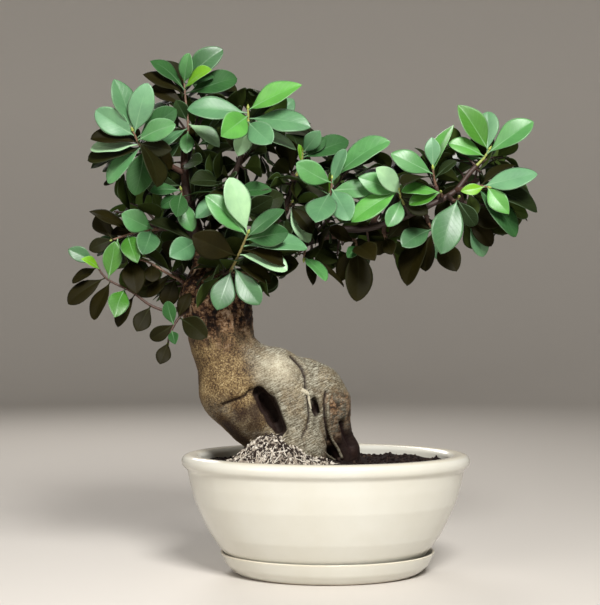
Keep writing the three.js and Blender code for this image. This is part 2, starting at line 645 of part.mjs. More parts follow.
// A block that reaches up to a height, for cutting a level foot.
function below(height) {
  const block = new THREE.BoxGeometry(CUTTER.side, CUTTER.side, CUTTER.height);
  block.translate(0, 0, height - CUTTER.height / 2);
  block.deleteAttribute('normal');
  block.deleteAttribute('uv');
  return solidOf(block);
}

// Facets round a limb: the thicker it starts, the more.
const THICK_LIMB = { from: 6, sides: 8 };
const MIDDLING_LIMB = { from: 3.5, sides: 5 };
const THIN_SIDES = 4;

function limbSides(radius) {
  if (radius > THICK_LIMB.from) return THICK_LIMB.sides;
  return radius > MIDDLING_LIMB.from ? MIDDLING_LIMB.sides : THIN_SIDES;
}

function trunkGeometry() {
  const lump = solidOf(skinGeometry(trunkField, TRUNK_BOX, TRUNK_CELL));
  const limbs = LIMBS.map(({ radii }, i) => (
    solidOf(tubeGeometry(limbPaths[i], radii, limbSides(radii[0])))));
  return geometryFrom(biggestPart(join([lump, ...limbs]).subtract(below(TRUNK_FOOT))));
}

// The room that the trunk takes in the soil and the mat, a little wider than the wood.
function trunkRoomSolid() {
  const wider = (point) => trunkField(point) - ROOT_ROOM;
  const room = solidOf(skinGeometry(wider, TRUNK_BOX, TRUNK_CELL));
  return room.subtract(below(TRUNK_FOOT - GAP));
}

// ---- Leaves ----
// Half the width of a leaf over its full width, along its length.
function leafOutline(share) {
  const blade = Math.max(0, (share - STALK_SHARE) / (1 - STALK_SHARE));
  return 0.5 * Math.sin(Math.PI * Math.min(1, blade)) ** LEAF_POINTED;
}

// A leaf's own directions: along from foot to tip, up from its upper face, and across.
function leafOf(foot, tip, upward, width) {
  const along = new THREE.Vector3().subVectors(tip, foot);
  const length = along.length();
  along.normalize();
  const up = upward.clone().addScaledVector(along, -upward.dot(along)).normalize();
  const across = new THREE.Vector3().crossVectors(along, up);
  return { foot, tip, along, up, across, length, width };
}

function leafRise(share, length) {
  return 4 * LEAF_ARCH * length * share * (1 - share);
}

function leafPoint(leaf, share, side) {
  const half = leafOutline(share) * leaf.width;
  return leaf.foot.clone()
    .addScaledVector(leaf.along, share * leaf.length)
    .addScaledVector(leaf.up, leafRise(share, leaf.length))
    .addScaledVector(leaf.across, side * half);
}

const SAMPLE_SHARES = [0.04, 0.12, 0.2, 0.3, 0.4, 0.5, 0.6, 0.7, 0.8, 0.9, 1];
const SAMPLE_SIDES = [-1, -0.5, 0, 0.5, 1];

function leafSamples(leaf) {
  return SAMPLE_SIDES.map((side) => SAMPLE_SHARES.map((share) => leafPoint(leaf, share, side)));
}

// A point in a leaf's own directions, with its height over the blade.
function heightOver(leaf, point) {
  const offset = new THREE.Vector3().subVectors(point, leaf.foot);
  const share = offset.dot(leaf.along) / leaf.length;
  const inRange = Math.min(1, Math.max(0, share));
  const height = offset.dot(leaf.up) - leafRise(inRange, leaf.length);
  return { share, height, aside: Math.abs(offset.dot(leaf.across)), half: leafOutline(inRange) * leaf.width };
}

function over(leaf, found, extra, start) {
  const margin = extra / leaf.length;
  return found.share > start - margin && found.share < 1 + margin && found.aside < found.half + extra;
}

// Whether any line of samples comes too near a leaf's blade or passes through it.
function linesMeet(leaf, lines, start) {
  return lines.some((line) => {
    let before = null;
    return line.some((point) => {
      const found = heightOver(leaf, point);
      const near = over(leaf, found, LEAF_ROOM, start);
      const through = before && near && before.near && before.height * found.height < 0;
      before = { near, height: found.height };
      return through || (near && Math.abs(found.height) < LEAF_ROOM);
    });
  });
}

const SPARE = 6;               // reach of a leaf beyond half its length, at most

function farApart(a, b) {
  const middleA = new THREE.Vector3().addVectors(a.foot, a.tip).multiplyScalar(0.5);
  const middleB = new THREE.Vector3().addVectors(b.foot, b.tip).multiplyScalar(0.5);
  return middleA.distanceTo(middleB) > (a.length + b.length) / 2 + SPARE;
}

const leaves = [];

// Short steps along every limb and stem, with their radius, for the leaves to keep clear of.
const STEP = 3;
const STEM_RADII = [2, 1.2];
const WOOD_ROOM = 1.1;         // least distance between a leaf's middle and the wood of a limb
const TRUNK_ROOM = 2;
const WOOD_START = 0.05;       // share of a leaf's length that may lie closer to wood
const KIN_START = 0.12;        // share that may lie closer to its own shoot's leaves
const OTHER_START = 0.08;
const KIN_FIRST = 3;           // first sample that counts between leaves of one shoot
const woodSteps = [];

function addWood(path, radii, owner) {
  for (let i = 0; i + 1 < path.length; i++) {
    const count = Math.ceil(path[i].distanceTo(path[i + 1]) / STEP);
    for (let n = 0; n <= count; n++) {
      const share = (i + n / count) / (path.length - 1);
      const radius = radii[0] + (radii[1] - radii[0]) * share;
      woodSteps.push({ point: path[i].clone().lerp(path[i + 1], n / count), radius, owner });
    }
  }
}

LIMBS.forEach(({ radii }, i) => addWood(limbPaths[i], radii, 'trunk'));
const stemPaths = SHOOTS.map(({ stem }) => stem.map(place));
SHOOTS.forEach(({ name }, i) => addWood(stemPaths[i], STEM_RADII, name));

function meetsWood(leaf, owner) {
  return woodSteps.some(({ point, radius, owner: of }) => {
    if (of === owner) return false;
    const found = heightOver(leaf, point);
    return over(leaf, found, radius + WOOD_ROOM, WOOD_START) && Math.abs(found.height) < radius + WOOD_ROOM;
  });
}

function meetsTrunk(lines) {
  return lines.some((line) => line.some((point) => trunkField(point) < TRUNK_ROOM));
}

// How badly a leaf sits: 0 is clear, 1 touches its own shoot's leaves, 2 meets another node.
function trouble(leaf, owner, mustHide) {
  const lines = leafSamples(leaf);
  if (meetsTrunk(lines) || meetsWood(leaf, owner)) return 2;
  if (mustHide && !lines.flat().every((point) => insideOutline(seen(point)))) return 2;
  let worst = 0;
  for (const other of leaves) {
    if (farApart(leaf, other)) continue;
    const kin = other.owner === owner;
    const start = kin ? KIN_START : OTHER_START;
    const mine = kin ? lines.map((line) => line.slice(KIN_FIRST)) : lines;
    const theirs = kin ? other.lines.map((line) => line.slice(KIN_FIRST)) : other.lines;
    if (linesMeet(other, mine, start) || linesMeet(leaf, theirs, start)) {
      if (!kin) return 2;
      worst = 1;
    }
  }
  return worst;
}

// Takes the first way of bending a leaf that sits clear, or the least bad one.
function settle(ways, owner, mustHide) {
  let best = null;
  for (const leaf of ways) {
    const bad = trouble(leaf, owner, mustHide);
    if (!best || bad < best.bad) best = { leaf, bad };
    if (bad === 0) break;
  }
  if (mustHide && best.bad === 2) return;
  leaves.push({ ...best.leaf, owner, lines: leafSamples(best.leaf), bad: best.bad });
}

// Places along a stem where a leaf can start, one leaf at each while there are enough.
const FOOT_STEP = 2.6;
const FIRST_FOOT = 0.4;        // share of a step between the stem's end and the first place
const BARE_START = 4;          // length at the stem's start that bears no leaf
const TAKEN_COST = 1000;

function feetOf(path) {
  const feet = [];
  for (let i = path.length - 1; i > 0; i--) {
    const length = path[i].distanceTo(path[i - 1]);
    const count = Math.max(1, Math.round(length / FOOT_STEP));
    for (let n = 0; n < count; n++) {
      const back = (n + FIRST_FOOT) / count;
      if (i === 1 && (1 - back) * length < BARE_START) continue;
      feet.push({ point: path[i].clone().lerp(path[i - 1], back), taken: 0 });
    }
  }
  return feet;
}

// The free place on a stem that lies nearest to a point, both as seen from the front.
function takeFoot(feet, across, down) {
  let best = null;
  feet.forEach((foot) => {
    const [x, y] = seen(foot.point);
    const far = Math.hypot(x - across, y - down) + TAKEN_COST * foot.taken;
    if (!best || far < best.far) best = { far, foot };
  });
  best.foot.taken += 1;
  return best.foot.point;
}

const DEPTH_STEPS = [0, -7, 7, -14, 14, -21, 21, -28, 28, -36, 36, -44, 44];
const SLENDER = 0.44;          // a leaf seen narrower than this, over its length, is seen edge on
const STOCKY = 2;              // a leaf seen shorter than this many widths leans along the sight
const FORESHORTENED = 1.02;    // least real length over the length as seen
const BROADEST = 2.4;          // most real width over the width as seen
const ABOVE = new THREE.Vector3(0, -0.5, 0.85);

// A leaf as seen from the front, turned about its length until it is as wide as it looks.
function seenLeaf(foot, [, , tipAcross, tipDown, width, lean], extra) {
  const [footAcross, footDown] = seen(foot);
  const apparent = Math.hypot(tipAcross - footAcross, tipDown - footDown);
  const full = Math.max(apparent * FORESHORTENED, STOCKY * width);
  const forward = lean ?? -Math.sqrt(full * full - apparent * apparent);
  const tip = place([tipAcross, tipDown, foot.y + forward + extra]);
  const along = new THREE.Vector3().subVectors(tip, foot);
  const length = along.length();
  along.normalize();
  const scale = 1 - tip.y / EYE.y;
  const real = Math.max(width * scale, Math.min(SLENDER * length, BROADEST * width * scale));
  const toEye = new THREE.Vector3().subVectors(EYE, foot).normalize();
  const facing = toEye.addScaledVector(along, -toEye.dot(along)).normalize();
  const turn = Math.acos(Math.min(1, (width * scale) / real));
  const turned = [turn, -turn].map((angle) => facing.clone().applyAxisAngle(along, angle));
  const upward = turned[0].dot(ABOVE) >= turned[1].dot(ABOVE) ? turned[0] : turned[1];
  return leafOf(foot, tip, upward, real);
}

const FILL_START = new THREE.Vector3(0.2, 0.1, 1);
const FILL_SKYWARD = new THREE.Vector3(0, 0, 0.8);

// A hidden leaf that stands off from the shoot's direction, turned about it.
function fillLeaf(path, foot, turn, lean, length) {
  const axis = new THREE.Vector3().subVectors(path.at(-1), path.at(-2)).normalize();
  const across = FILL_START.clone().cross(axis).normalize();
  const radial = across.applyAxisAngle(axis, turn);
  const angle = THREE.MathUtils.degToRad(lean);
  const along = axis.clone().multiplyScalar(Math.cos(angle)).addScaledVector(radial, Math.sin(angle));
  const upward = axis.clone().add(FILL_SKYWARD);
  return leafOf(foot, foot.clone().addScaledVector(along, length), upward, FILL_WIDTH * length);
}

// Ways to bend a hidden leaf clear, in degrees: more lean, then more turn.
const BENDS = [
  [0, 0], [10, 0], [-10, 0], [0, 12], [0, -12], [18, 10], [-18, -10], [0, 24], [0, -24], [-28, 0], [24, -20],
];
const SHOOT_TURN = 40;         // degrees between one shoot's first hidden leaf and the next's

const stemFeet = stemPaths.map(feetOf);
SHOOTS.forEach(({ name, leaves: rows }, i) => {
  rows.forEach((row) => {
    const foot = takeFoot(stemFeet[i], row[0], row[1]);
    settle(DEPTH_STEPS.map((extra) => seenLeaf(foot, row, extra)), name, false);
  });
});
SHOOTS.forEach(({ name, fill }, i) => {
  for (let n = 0; n < fill; n++) {
    const turn = THREE.MathUtils.degToRad(GOLDEN_TURN * n + SHOOT_TURN * i);
    const lean = between(FILL_LEAN);
    const length = between(FILL_LENGTH);
    const foot = takeFoot(stemFeet[i], ...seen(stemPaths[i].at(-1)));
    const ways = BENDS.map(([tilt, swing]) => fillLeaf(
      stemPaths[i], foot, turn + THREE.MathUtils.degToRad(swing), lean + tilt, length));
    settle(ways, name, true);
  }
});

// A leaf's blade: the same corners on its upper and lower face.
const BLADE_SHARES = [0, 0.34, 0.72];
const STALK_HALF = 0.5;

function bladeGeometry(leaf) {
  const points = [];
  const triangles = [];
  const lift = leaf.up.clone().multiplyScalar(LEAF_THICK / 2);
  BLADE_SHARES.forEach((share) => {
    const middle = leafPoint(leaf, share, 0);
    const half = Math.max(STALK_HALF, leafOutline(share) * leaf.width);
    [1, -1].forEach((face) => [-1, 1].forEach((side) => {
      const edge = middle.clone().addScaledVector(leaf.across, side * half).addScaledVector(lift, face);
      points.push(edge.toArray());
    }));
  });
  const tip = points.length;
  [1, -1].forEach((face) => points.push(leafPoint(leaf, 1, 0).addScaledVector(lift, face).toArray()));
  const quad = (a, b, c, d) => triangles.push([a, b, c], [a, c, d]);
  for (let n = 0; n + 4 < tip; n += 4) {
    quad(n, n + 1, n + 5, n + 4);
    triangles.push([n + 2, n + 6, n + 7], [n + 2, n + 7, n + 3]);
    quad(n + 4, n + 6, n + 2, n);
    quad(n + 1, n + 3, n + 7, n + 5);
  }
  const n = tip - 4;
  triangles.push([n, n + 1, tip], [n + 2, tip + 1, n + 3]);
  triangles.push([n, tip, tip + 1], [n, tip + 1, n + 2], [n + 1, n + 3, tip + 1], [n + 1, tip + 1, tip]);
  triangles.push([0, 2, 3], [0, 3, 1]);
  return geometryOf(points, triangles);
}

// A shoot's stem leaves the end of its limb straight on, then follows its own way.
function stemFrom(index) {
  const joint = String(SHOOTS[index].stem[0]);
  const limb = limbPaths.find((path, i) => String(LIMBS[i].path.at(-1)) === joint);
  const end = limb.at(-1);
  const onward = new THREE.Vector3().subVectors(end, limb.at(-2)).normalize();
  const start = [GAP, STEM_RADII[0]].map((far) => end.clone().addScaledVector(onward, far));
  return [...start, ...stemPaths[index].slice(1)];
}

function shootGeometry(index) {
  const { name } = SHOOTS[index];
  const stem = solidOf(tubeGeometry(stemFrom(index), STEM_RADII, 3));
  const blades = leaves.filter(({ owner }) => owner === name).map((leaf) => solidOf(bladeGeometry(leaf)));
  return geometryFrom(biggestPart(join([stem, ...blades])));
}

// ---- Materials and the whole ----
const GLAZE = new THREE.MeshStandardMaterial({ color: 0xe9e2cf, roughness: 0.18, metalness: 0 });
const SOIL = new THREE.MeshStandardMaterial({ color: 0x2b211a, roughness: 0.95, metalness: 0 });
const MAT_FIBRE = new THREE.MeshStandardMaterial({ color: 0x9a8b74, roughness: 0.95, metalness: 0 });
const BARK = new THREE.MeshStandardMaterial({ color: 0x7d6a55, roughness: 0.85, metalness: 0 });
const LEAF = new THREE.MeshStandardMaterial({ color: 0x2f6b3a, roughness: 0.35, metalness: 0 });

const bonsai = new THREE.Group();

function add(name, geometry, material) {
  const mesh = new THREE.Mesh(geometry, material);
  mesh.name = name;
  bonsai.add(mesh);
}

const trunkRoom = trunkRoomSolid();
add('saucer', saucerGeometry(), GLAZE);
add('pot', potGeometry(), GLAZE);
add('soil', soilGeometry(trunkRoom), SOIL);
add('root_mat', matGeometry(trunkRoom), MAT_FIBRE);
add('trunk', trunkGeometry(), BARK);
SHOOTS.forEach(({ name }, i) => add(name, shootGeometry(i), LEAF));

export default bonsai;
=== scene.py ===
# A ginseng-type fig bonsai in an oval glazed bowl with a drip saucer, dressed for rendering.
# Shapes are worked out in millimetres and made in metres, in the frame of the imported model.
import math

import bpy
import numpy as np
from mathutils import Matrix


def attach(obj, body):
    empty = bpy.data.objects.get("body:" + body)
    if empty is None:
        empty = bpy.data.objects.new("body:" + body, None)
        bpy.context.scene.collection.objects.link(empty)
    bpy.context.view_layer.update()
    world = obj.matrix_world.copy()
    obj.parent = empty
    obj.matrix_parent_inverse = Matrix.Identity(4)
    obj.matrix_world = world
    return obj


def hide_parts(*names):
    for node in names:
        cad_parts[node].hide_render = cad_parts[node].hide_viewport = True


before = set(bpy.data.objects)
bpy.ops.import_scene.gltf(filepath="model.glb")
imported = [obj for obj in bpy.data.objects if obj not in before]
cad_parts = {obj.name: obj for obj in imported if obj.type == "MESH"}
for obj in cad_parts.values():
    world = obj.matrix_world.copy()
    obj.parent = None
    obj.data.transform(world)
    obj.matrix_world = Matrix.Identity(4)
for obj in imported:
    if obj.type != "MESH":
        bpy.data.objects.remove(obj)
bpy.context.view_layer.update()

MM = 0.001

# ---- Driving dimensions, shared with the solids, in millimetres ----
OVAL = 0.75           # the bowl's depth over its width
POT_SHIFT = -2.0      # the bowl's middle, across
POT_WALL = 8.0
SOIL_TOP = 109.0
LEAF_ARCH = 0.05      # rise of a leaf's middle over its length
LEAF_ROOM = 1.7       # clear room between leaves
WOOD_ROOM = 1.1       # clear room between a leaf and other wood
# The photo's top left corner in the plane through the pot's middle, where a pixel is a millimetre.
CORNER_ACROSS, CORNER_TOP = -327.5, 571.5
EYE = np.array([-27.5, -1327.0, 263.5])

# Reach from the axis, how far inside the oval through that reach, and height.
POT_PROFILE = [
    (0, 0, 9), (76, 0, 9), (78, 0, 5.3), (86, 0, 5.3), (96, 0, 15), (105.8, 0, 26.5),
    (115.5, 0, 40.3), (122.3, 0, 54), (130, 0, 71), (135, 0, 88.7), (138, 0, 103),
    (143, 0, 107.5), (144, 0, 112.3), (142, 0, 116.5), (137, 0, 118.5), (137, 8, 118.1),
    (137, 12.5, 115), (138, 13.2, 103), (130, POT_WALL, 71),
    (115.5, POT_WALL, 40.3), (105.8, POT_WALL, 27), (86, POT_WALL, 16), (0, 0, 16),
]
SAUCER_PROFILE = [
    (0, 0, 0), (89, 0, 0), (95, 0, 3.5), (101, 0, 9.5), (105, 0, 17), (107, 0, 21.4),
    (104.5, 0, 21.9), (102.2, 0, 15.6), (97.5, 0, 8.2), (90, 0, 5), (0, 0, 5),
]

# The trunk is a run of swollen tapering lobes: across, down, depth, radius at each end.
LOBES = [
    ((215, 300, 0, 35), (219, 322, 0, 32)),
    ((219, 322, 0, 32), (222, 345, 0, 29.5)),
    ((222, 345, 0, 29.5), (235, 379, 0, 34)),
    ((235, 379, 0, 34), (236, 390, -1, 34.5)),
    ((236, 390, -1, 34.5), (257, 411, -1, 33.5)),
    ((257, 411, -1, 33.5), (278, 436, 2, 29)),
    ((278, 436, 2, 29), (280, 484, 4, 25)),
    ((244, 368, 0, 29), (272, 376, 1, 26.5)),
    ((272, 376, 1, 26.5), (302, 386, 2, 26)),
    ((302, 386, 2, 26), (311, 393, 3, 31)),
    ((311, 393, 3, 31), (322, 408, 6, 28)),
    ((322, 408, 6, 28), (330, 427, 8, 18.5)),
    ((330, 427, 8, 18.5), (344, 450, 16, 14)),
    ((344, 450, 16, 14), (351, 486, 22, 12)),
    ((277, 374, -14, 25), (293, 410, -20, 22)),
    ((293, 410, -20, 22), (300, 450, -22, 24)),
    ((300, 450, -22, 24), (302, 486, -20, 22)),
    ((264, 400, 30, 28), (285, 455, 34, 26)),
    ((285, 455, 34, 26), (288, 486, 36, 22)),
]
LOBE_BLEND = 9.0
HOLLOWS = [
    ((258, 392, -39, 7), (266, 403, -39, 10)),
    ((266, 403, -39, 10), (279, 429, -39, 7)),
    ((259, 393, -28, 7), (267, 404, -28, 10)),
    ((267, 404, -28, 10), (278, 427, -29, 7)),
    ((263, 397, -17, 6), (273, 416, -17, 7.5)),
    ((314, 397, -40, 3.5), (316, 412, -28, 3.5)),
]
HOLLOW_BLEND = 5.0

# The limbs: radius at the start and the end, and places along each.
LIMBS = [
    ((10, 3.4), [(208, 280, 0), (198, 245, -2), (190, 205, -4), (185, 172, -3), (184, 150, 0)]),
    ((9, 3.8), [(236, 287, 0), (270, 262, 0), (306, 242, -2)]),
    ((3.8, 2.6), [(300, 245, -1), (322, 238, -3), (337, 230, -4), (369, 228, -8), (410, 215, -12),
                  (440, 200, -12), (456, 190, -10), (468, 175, -7), (476, 166, -4)]),
    ((3.4, 2.2), [(185, 174, -3), (162, 161, -20), (146, 152, -36)]),
    ((4.6, 2.2), [(199, 247, -2), (222, 205, -14), (238, 165, -26), (244, 140, -31)]),
    ((2.6, 2), [(223, 204, -15), (229, 197, -25)]),
    ((4.6, 2.2), [(272, 261, 0), (283, 215, 4), (296, 176, -2)]),
    ((2.6, 2), [(283, 216, 4), (288, 208, -8)]),
    ((3.2, 2.2), [(306, 242, -2), (321, 216, -13), (327, 203, -21)]),
    ((4, 2.6), [(222, 284, -16), (230, 272, -42)]),
    ((3.8, 2.2), [(194, 230, -3), (178, 228, -12), (158, 229, -20)]),
    ((2.8, 2), [(191, 210, -4), (186, 206, -15)]),
    ((2.8, 2), [(198, 248, -3), (197, 246, -16)]),
    ((3.6, 2.2), [(196, 302, -14), (184, 306, -24), (170, 313, -27)]),
    ((2.8, 2), [(190, 308, -20), (183, 313, -32)]),
    ((3.2, 2), [(196, 290, 0), (180, 280, -14)]),
    ((3, 2), [(409, 215, -12), (404, 204, -24)]),
    ((3, 2), [(440, 200, -12), (436, 186, -18)]),
    ((2.8, 2), [(441, 200, -12), (442, 196, -24)]),
    ((3, 2), [(456, 190, -10), (470, 188, -24)]),
    ((3, 2), [(448, 196, -11), (454, 201, -26)]),
    ((3, 2), [(424, 209, -12), (428, 222, 0)]),
    ((3, 2), [(458, 188, -10), (463, 204, 2)]),
    ((2.6, 2), [(324, 237, -3), (340, 237, -8), (355, 240, -13)]),
    ((2.8, 2), [(308, 240, -3), (305, 249, -12)]),
    ((2.8, 2), [(384, 224, -9), (384, 233, -2)]),
]

# Leaf tones, a place on the leaf material's ramp: the darkest two are painted shade on leaves that lie in
# shadow, then greens to the youngest.
# The dark greens after these are partly the leaves' own colour and partly painted shade; the last tone on
# this line paints a whitish sheen on leaves that face the light.
DARK, SHADED, DEEP, DULL, OLD, SHEEN = 0.0, 0.12, 0.2, 0.25, 0.3, 0.38
# The tone after the fresh green is painted light, a near-white green on brightly lit leaves.
MID, FRESH, HIGHLIGHT, GRASS, LIME, YOUNG = 0.46, 0.58, 0.64, 0.7, 0.77, 1.0
# How much leaves of one tone vary, and how far the ramp stays level beside the palest tone.
TONE_SPREAD, TONE_LEVEL = 0.012, 0.024

# A leafy shoot: name, the places that its green stem runs through, how many hidden leaves, and its
# leaves: across and down at the foot, across and down at the tip, width as seen, tone, and, where
# the leaf doesn't lean towards the viewer, how much deeper its tip is than its foot.
SHOOTS = [
    ("shoot_upper_left", [(146, 152, -36), (138, 142, -45), (133, 131, -52)], 0, [
        (128, 126, 115, 78, 22, OLD), (131, 137, 95, 110, 24, SHEEN), (134, 126, 148, 83, 24, SHEEN),
        (137, 127, 176, 108, 20, DEEP, -2), (135, 132, 175, 124, 20, MID, -20),
        (130, 152, 90, 149, 12, HIGHLIGHT), (132, 142, 90, 138, 12, DARK, -14),
        (131, 158, 87, 160, 14, DARK, -8), (127, 165, 90, 168, 11, SHADED, 6),
        (141, 162, 135, 195, 26, DEEP), (127, 167, 107, 183, 16, MID, 6)]),
    ("shoot_top", [(184, 150, 0), (188, 130, -4), (186, 105, -3), (184, 80, 0)], 0, [
        (188, 78, 222, 48, 20, DEEP), (180, 91, 151, 59, 12, DEEP), (186, 95, 143, 73, 12, DARK),
        (186, 106, 151, 86, 15, DARK), (183, 81, 189, 53, 14, MID), (186, 82, 214, 76, 9, DEEP),
        (188, 95, 237, 76, 20, DEEP), (190, 122, 176, 100, 14, SHADED), (191, 124, 220, 146, 14, HIGHLIGHT),
        (190, 130, 186, 153, 14, MID), (184, 130, 158, 148, 11, OLD), (186, 138, 152, 170, 13, SHADED)]),
    ("shoot_upper_middle", [(244, 140, -31), (248, 126, -36), (248, 109, -40)], 1, [
        (248, 111, 302, 84, 21, LIME), (243, 107, 187, 108, 22, OLD), (248, 109, 221, 136, 27, LIME),
        (252, 114, 311, 126, 20, OLD), (251, 115, 271, 143, 24, OLD), (246, 123, 238, 156, 17, HIGHLIGHT),
        (248, 130, 297, 149, 12, HIGHLIGHT, 8)]),
    ("shoot_middle", [(296, 176, -2), (301, 165, -4), (303, 152, -6)], 1, [
        (297, 150, 320, 131, 16, OLD), (304, 157, 326, 138, 12, DEEP), (305, 160, 349, 140, 17, DEEP)]),
    ("shoot_right_of_middle", [(327, 203, -21), (331, 190, -28), (332, 179, -31)], 1, [
        (334, 178, 388, 138, 20, MID), (329, 181, 296, 163, 22, MID), (332, 174, 346, 149, 13, SHEEN),
        (332, 186, 350, 220, 24, SHEEN), (334, 184, 373, 190, 18, MID), (330, 186, 315, 220, 25, OLD)]),
    ("shoot_front", [(230, 272, -42), (239, 254, -60), (248, 233, -76)], 0, [
        (250, 228, 229, 177, 25, HIGHLIGHT), (246, 230, 206, 195, 24, FRESH), (251, 231, 284, 209, 18, DULL),
        (251, 238, 289, 232, 22, DEEP), (248, 248, 308, 246, 18, SHEEN), (244, 258, 288, 270, 15, HIGHLIGHT),
        (246, 252, 287, 264, 12, DARK, 2), (236, 268, 260, 305, 22, DULL), (230, 272, 217, 310, 23, DULL),
        (238, 266, 271, 282, 12, DARK, 6), (240, 256, 193, 236, 28, DARK)]),
    ("shoot_left_of_middle", [(229, 197, -25), (234, 189, -37)], 1, [
        (229, 198, 195, 217, 16, OLD), (234, 194, 272, 190, 14, DEEP)]),
    ("shoot_centre", [(288, 208, -8), (292, 202, -20)], 0, [
        (288, 208, 309, 243, 18, HIGHLIGHT), (292, 206, 313, 234, 14, DARK, 2)]),
    ("shoot_left", [(158, 229, -20), (140, 231, -26), (124, 236, -30), (112, 240, -32)], 0, [
        (125, 207, 89, 211, 12, DARK), (112, 238, 96, 214, 18, DARK), (110, 237, 89, 250, 14, DARK),
        (160, 226, 122, 214, 22, MID), (134, 230, 110, 232, 11, DARK), (156, 234, 143, 254, 22, DULL),
        (127, 236, 137, 262, 20, GRASS), (112, 241, 116, 262, 9, GRASS)]),
    ("shoot_left_inner", [(186, 206, -15), (183, 198, -22), (181, 190, -28)], 1, [
        (184, 199, 192, 231, 17, MID), (178, 196, 161, 207, 12, DEEP), (188, 192, 177, 216, 18, DEEP),
        (176, 190, 150, 190, 11, DEEP)]),
    ("shoot_left_low", [(197, 246, -16), (196, 240, -26)], 2, [
        (196, 241, 171, 256, 24, OLD)]),
    ("spray_drooping", [(170, 313, -27), (150, 305, -29), (132, 292, -31), (112, 282, -34),
                        (103, 275, -35), (96, 264, -36)], 0, [
        (107, 279, 115, 241, 18, GRASS), (95, 264, 68, 249, 14, DULL), (96, 268, 72, 283, 11, DARK),
        (103, 282, 67, 303, 17, DARK), (106, 286, 93, 320, 13, DARK), (124, 290, 115, 317, 20, GRASS),
        (134, 298, 117, 327, 13, DARK), (150, 307, 137, 331, 17, DARK)]),
    ("spray_low", [(183, 313, -32), (176, 322, -37), (170, 334, -40), (168, 343, -41)], 0, [
        (181, 316, 206, 337, 20, DARK), (171, 330, 175, 344, 10, DEEP), (168, 342, 160, 364, 14, DARK),
        (172, 322, 150, 339, 14, DARK), (178, 314, 190, 292, 12, DARK, 3), (170, 324, 167, 301, 13, DEEP)]),
    ("spray_behind", [(180, 280, -14), (165, 272, -18), (148, 262, -20), (131, 257, -22)], 1, [
        (129, 258, 136, 293, 22, DARK), (158, 272, 141, 286, 11, DARK), (171, 277, 147, 297, 12, DARK),
        (152, 262, 152, 281, 18, DARK), (176, 281, 165, 306, 18, DARK)]),
    ("shoot_right_first", [(404, 204, -24), (401, 198, -31), (399, 190, -37)], 0, [
        (398, 192, 351, 222, 22, LIME), (395, 186, 359, 177, 20, MID, -8),
        (400, 188, 377, 168, 18, HIGHLIGHT, -26), (402, 198, 388, 226, 17, MID)]),
    ("shoot_right_upper", [(436, 186, -18), (434, 178, -21), (433, 169, -25)], 1, [
        (432, 174, 391, 153, 20, MID), (433, 169, 432, 137, 15, SHEEN), (434, 168, 454, 124, 15, LIME),
        (438, 178, 456, 160, 8, SHADED)]),
    ("shoot_right_inner", [(442, 196, -24), (441, 192, -36)], 0, [
        (441, 192, 409, 204, 13, GRASS), (440, 193, 402, 189, 10, LIME)]),
    ("shoot_right_tip", [(476, 166, -4), (484, 158, -4), (489, 150, -4)], 0, [
        (488, 149, 459, 104, 22, GRASS), (491, 148, 488, 111, 20, OLD, 8), (490, 153, 534, 121, 23, MID),
        (490, 150, 449, 142, 14, LIME), (486, 156, 456, 151, 13, DEEP, 3)]),
    ("shoot_right_low", [(470, 188, -24), (479, 186, -32), (488, 187, -38)], 0, [
        (488, 188, 509, 214, 18, LIME), (485, 184, 461, 191, 11, YOUNG), (490, 182, 538, 174, 22, SHEEN),
        (486, 180, 515, 163, 11, DARK, 6), (490, 192, 538, 212, 20, SHADED),
        (486, 194, 518, 236, 20, DEEP, 4)]),
    ("shoot_right_front", [(454, 201, -26), (457, 200, -36), (459, 197, -46)], 0, [
        (458, 199, 441, 254, 30, DULL), (459, 200, 476, 226, 16, SHADED, 4)]),
    ("shoot_right_under", [(428, 222, 0), (434, 232, 4), (444, 240, 6)], 1, [
        (444, 240, 456, 270, 22, DARK), (432, 234, 425, 271, 18, DARK), (428, 228, 404, 284, 20, DARK),
        (426, 220, 402, 246, 19, DULL), (436, 236, 441, 262, 14, OLD)]),
    ("shoot_right_behind", [(463, 204, 2), (467, 213, 5), (470, 220, 6)], 1, [
        (470, 212, 492, 246, 17, DARK), (469, 220, 484, 257, 16, OLD), (466, 208, 500, 226, 18, DARK)]),
    ("shoot_hanging", [(355, 240, -13), (357, 247, -16)], 0, [
        (358, 242, 357, 302, 25, DARK), (352, 240, 348, 257, 11, DEEP),
        (354, 242, 339, 282, 16, DARK, 6), (356, 240, 374, 258, 19, DARK)]),
    ("shoot_hanging_inner", [(305, 249, -12), (304, 258, -14)], 0, [
        (303, 252, 314, 285, 8, DARK), (305, 254, 326, 280, 13, MID), (306, 250, 345, 286, 4, DARK)]),
    ("shoot_hanging_outer", [(384, 233, -2), (387, 244, 1)], 1, [
        (384, 234, 392, 254, 14, DARK), (386, 236, 372, 252, 14, DARK)]),
]

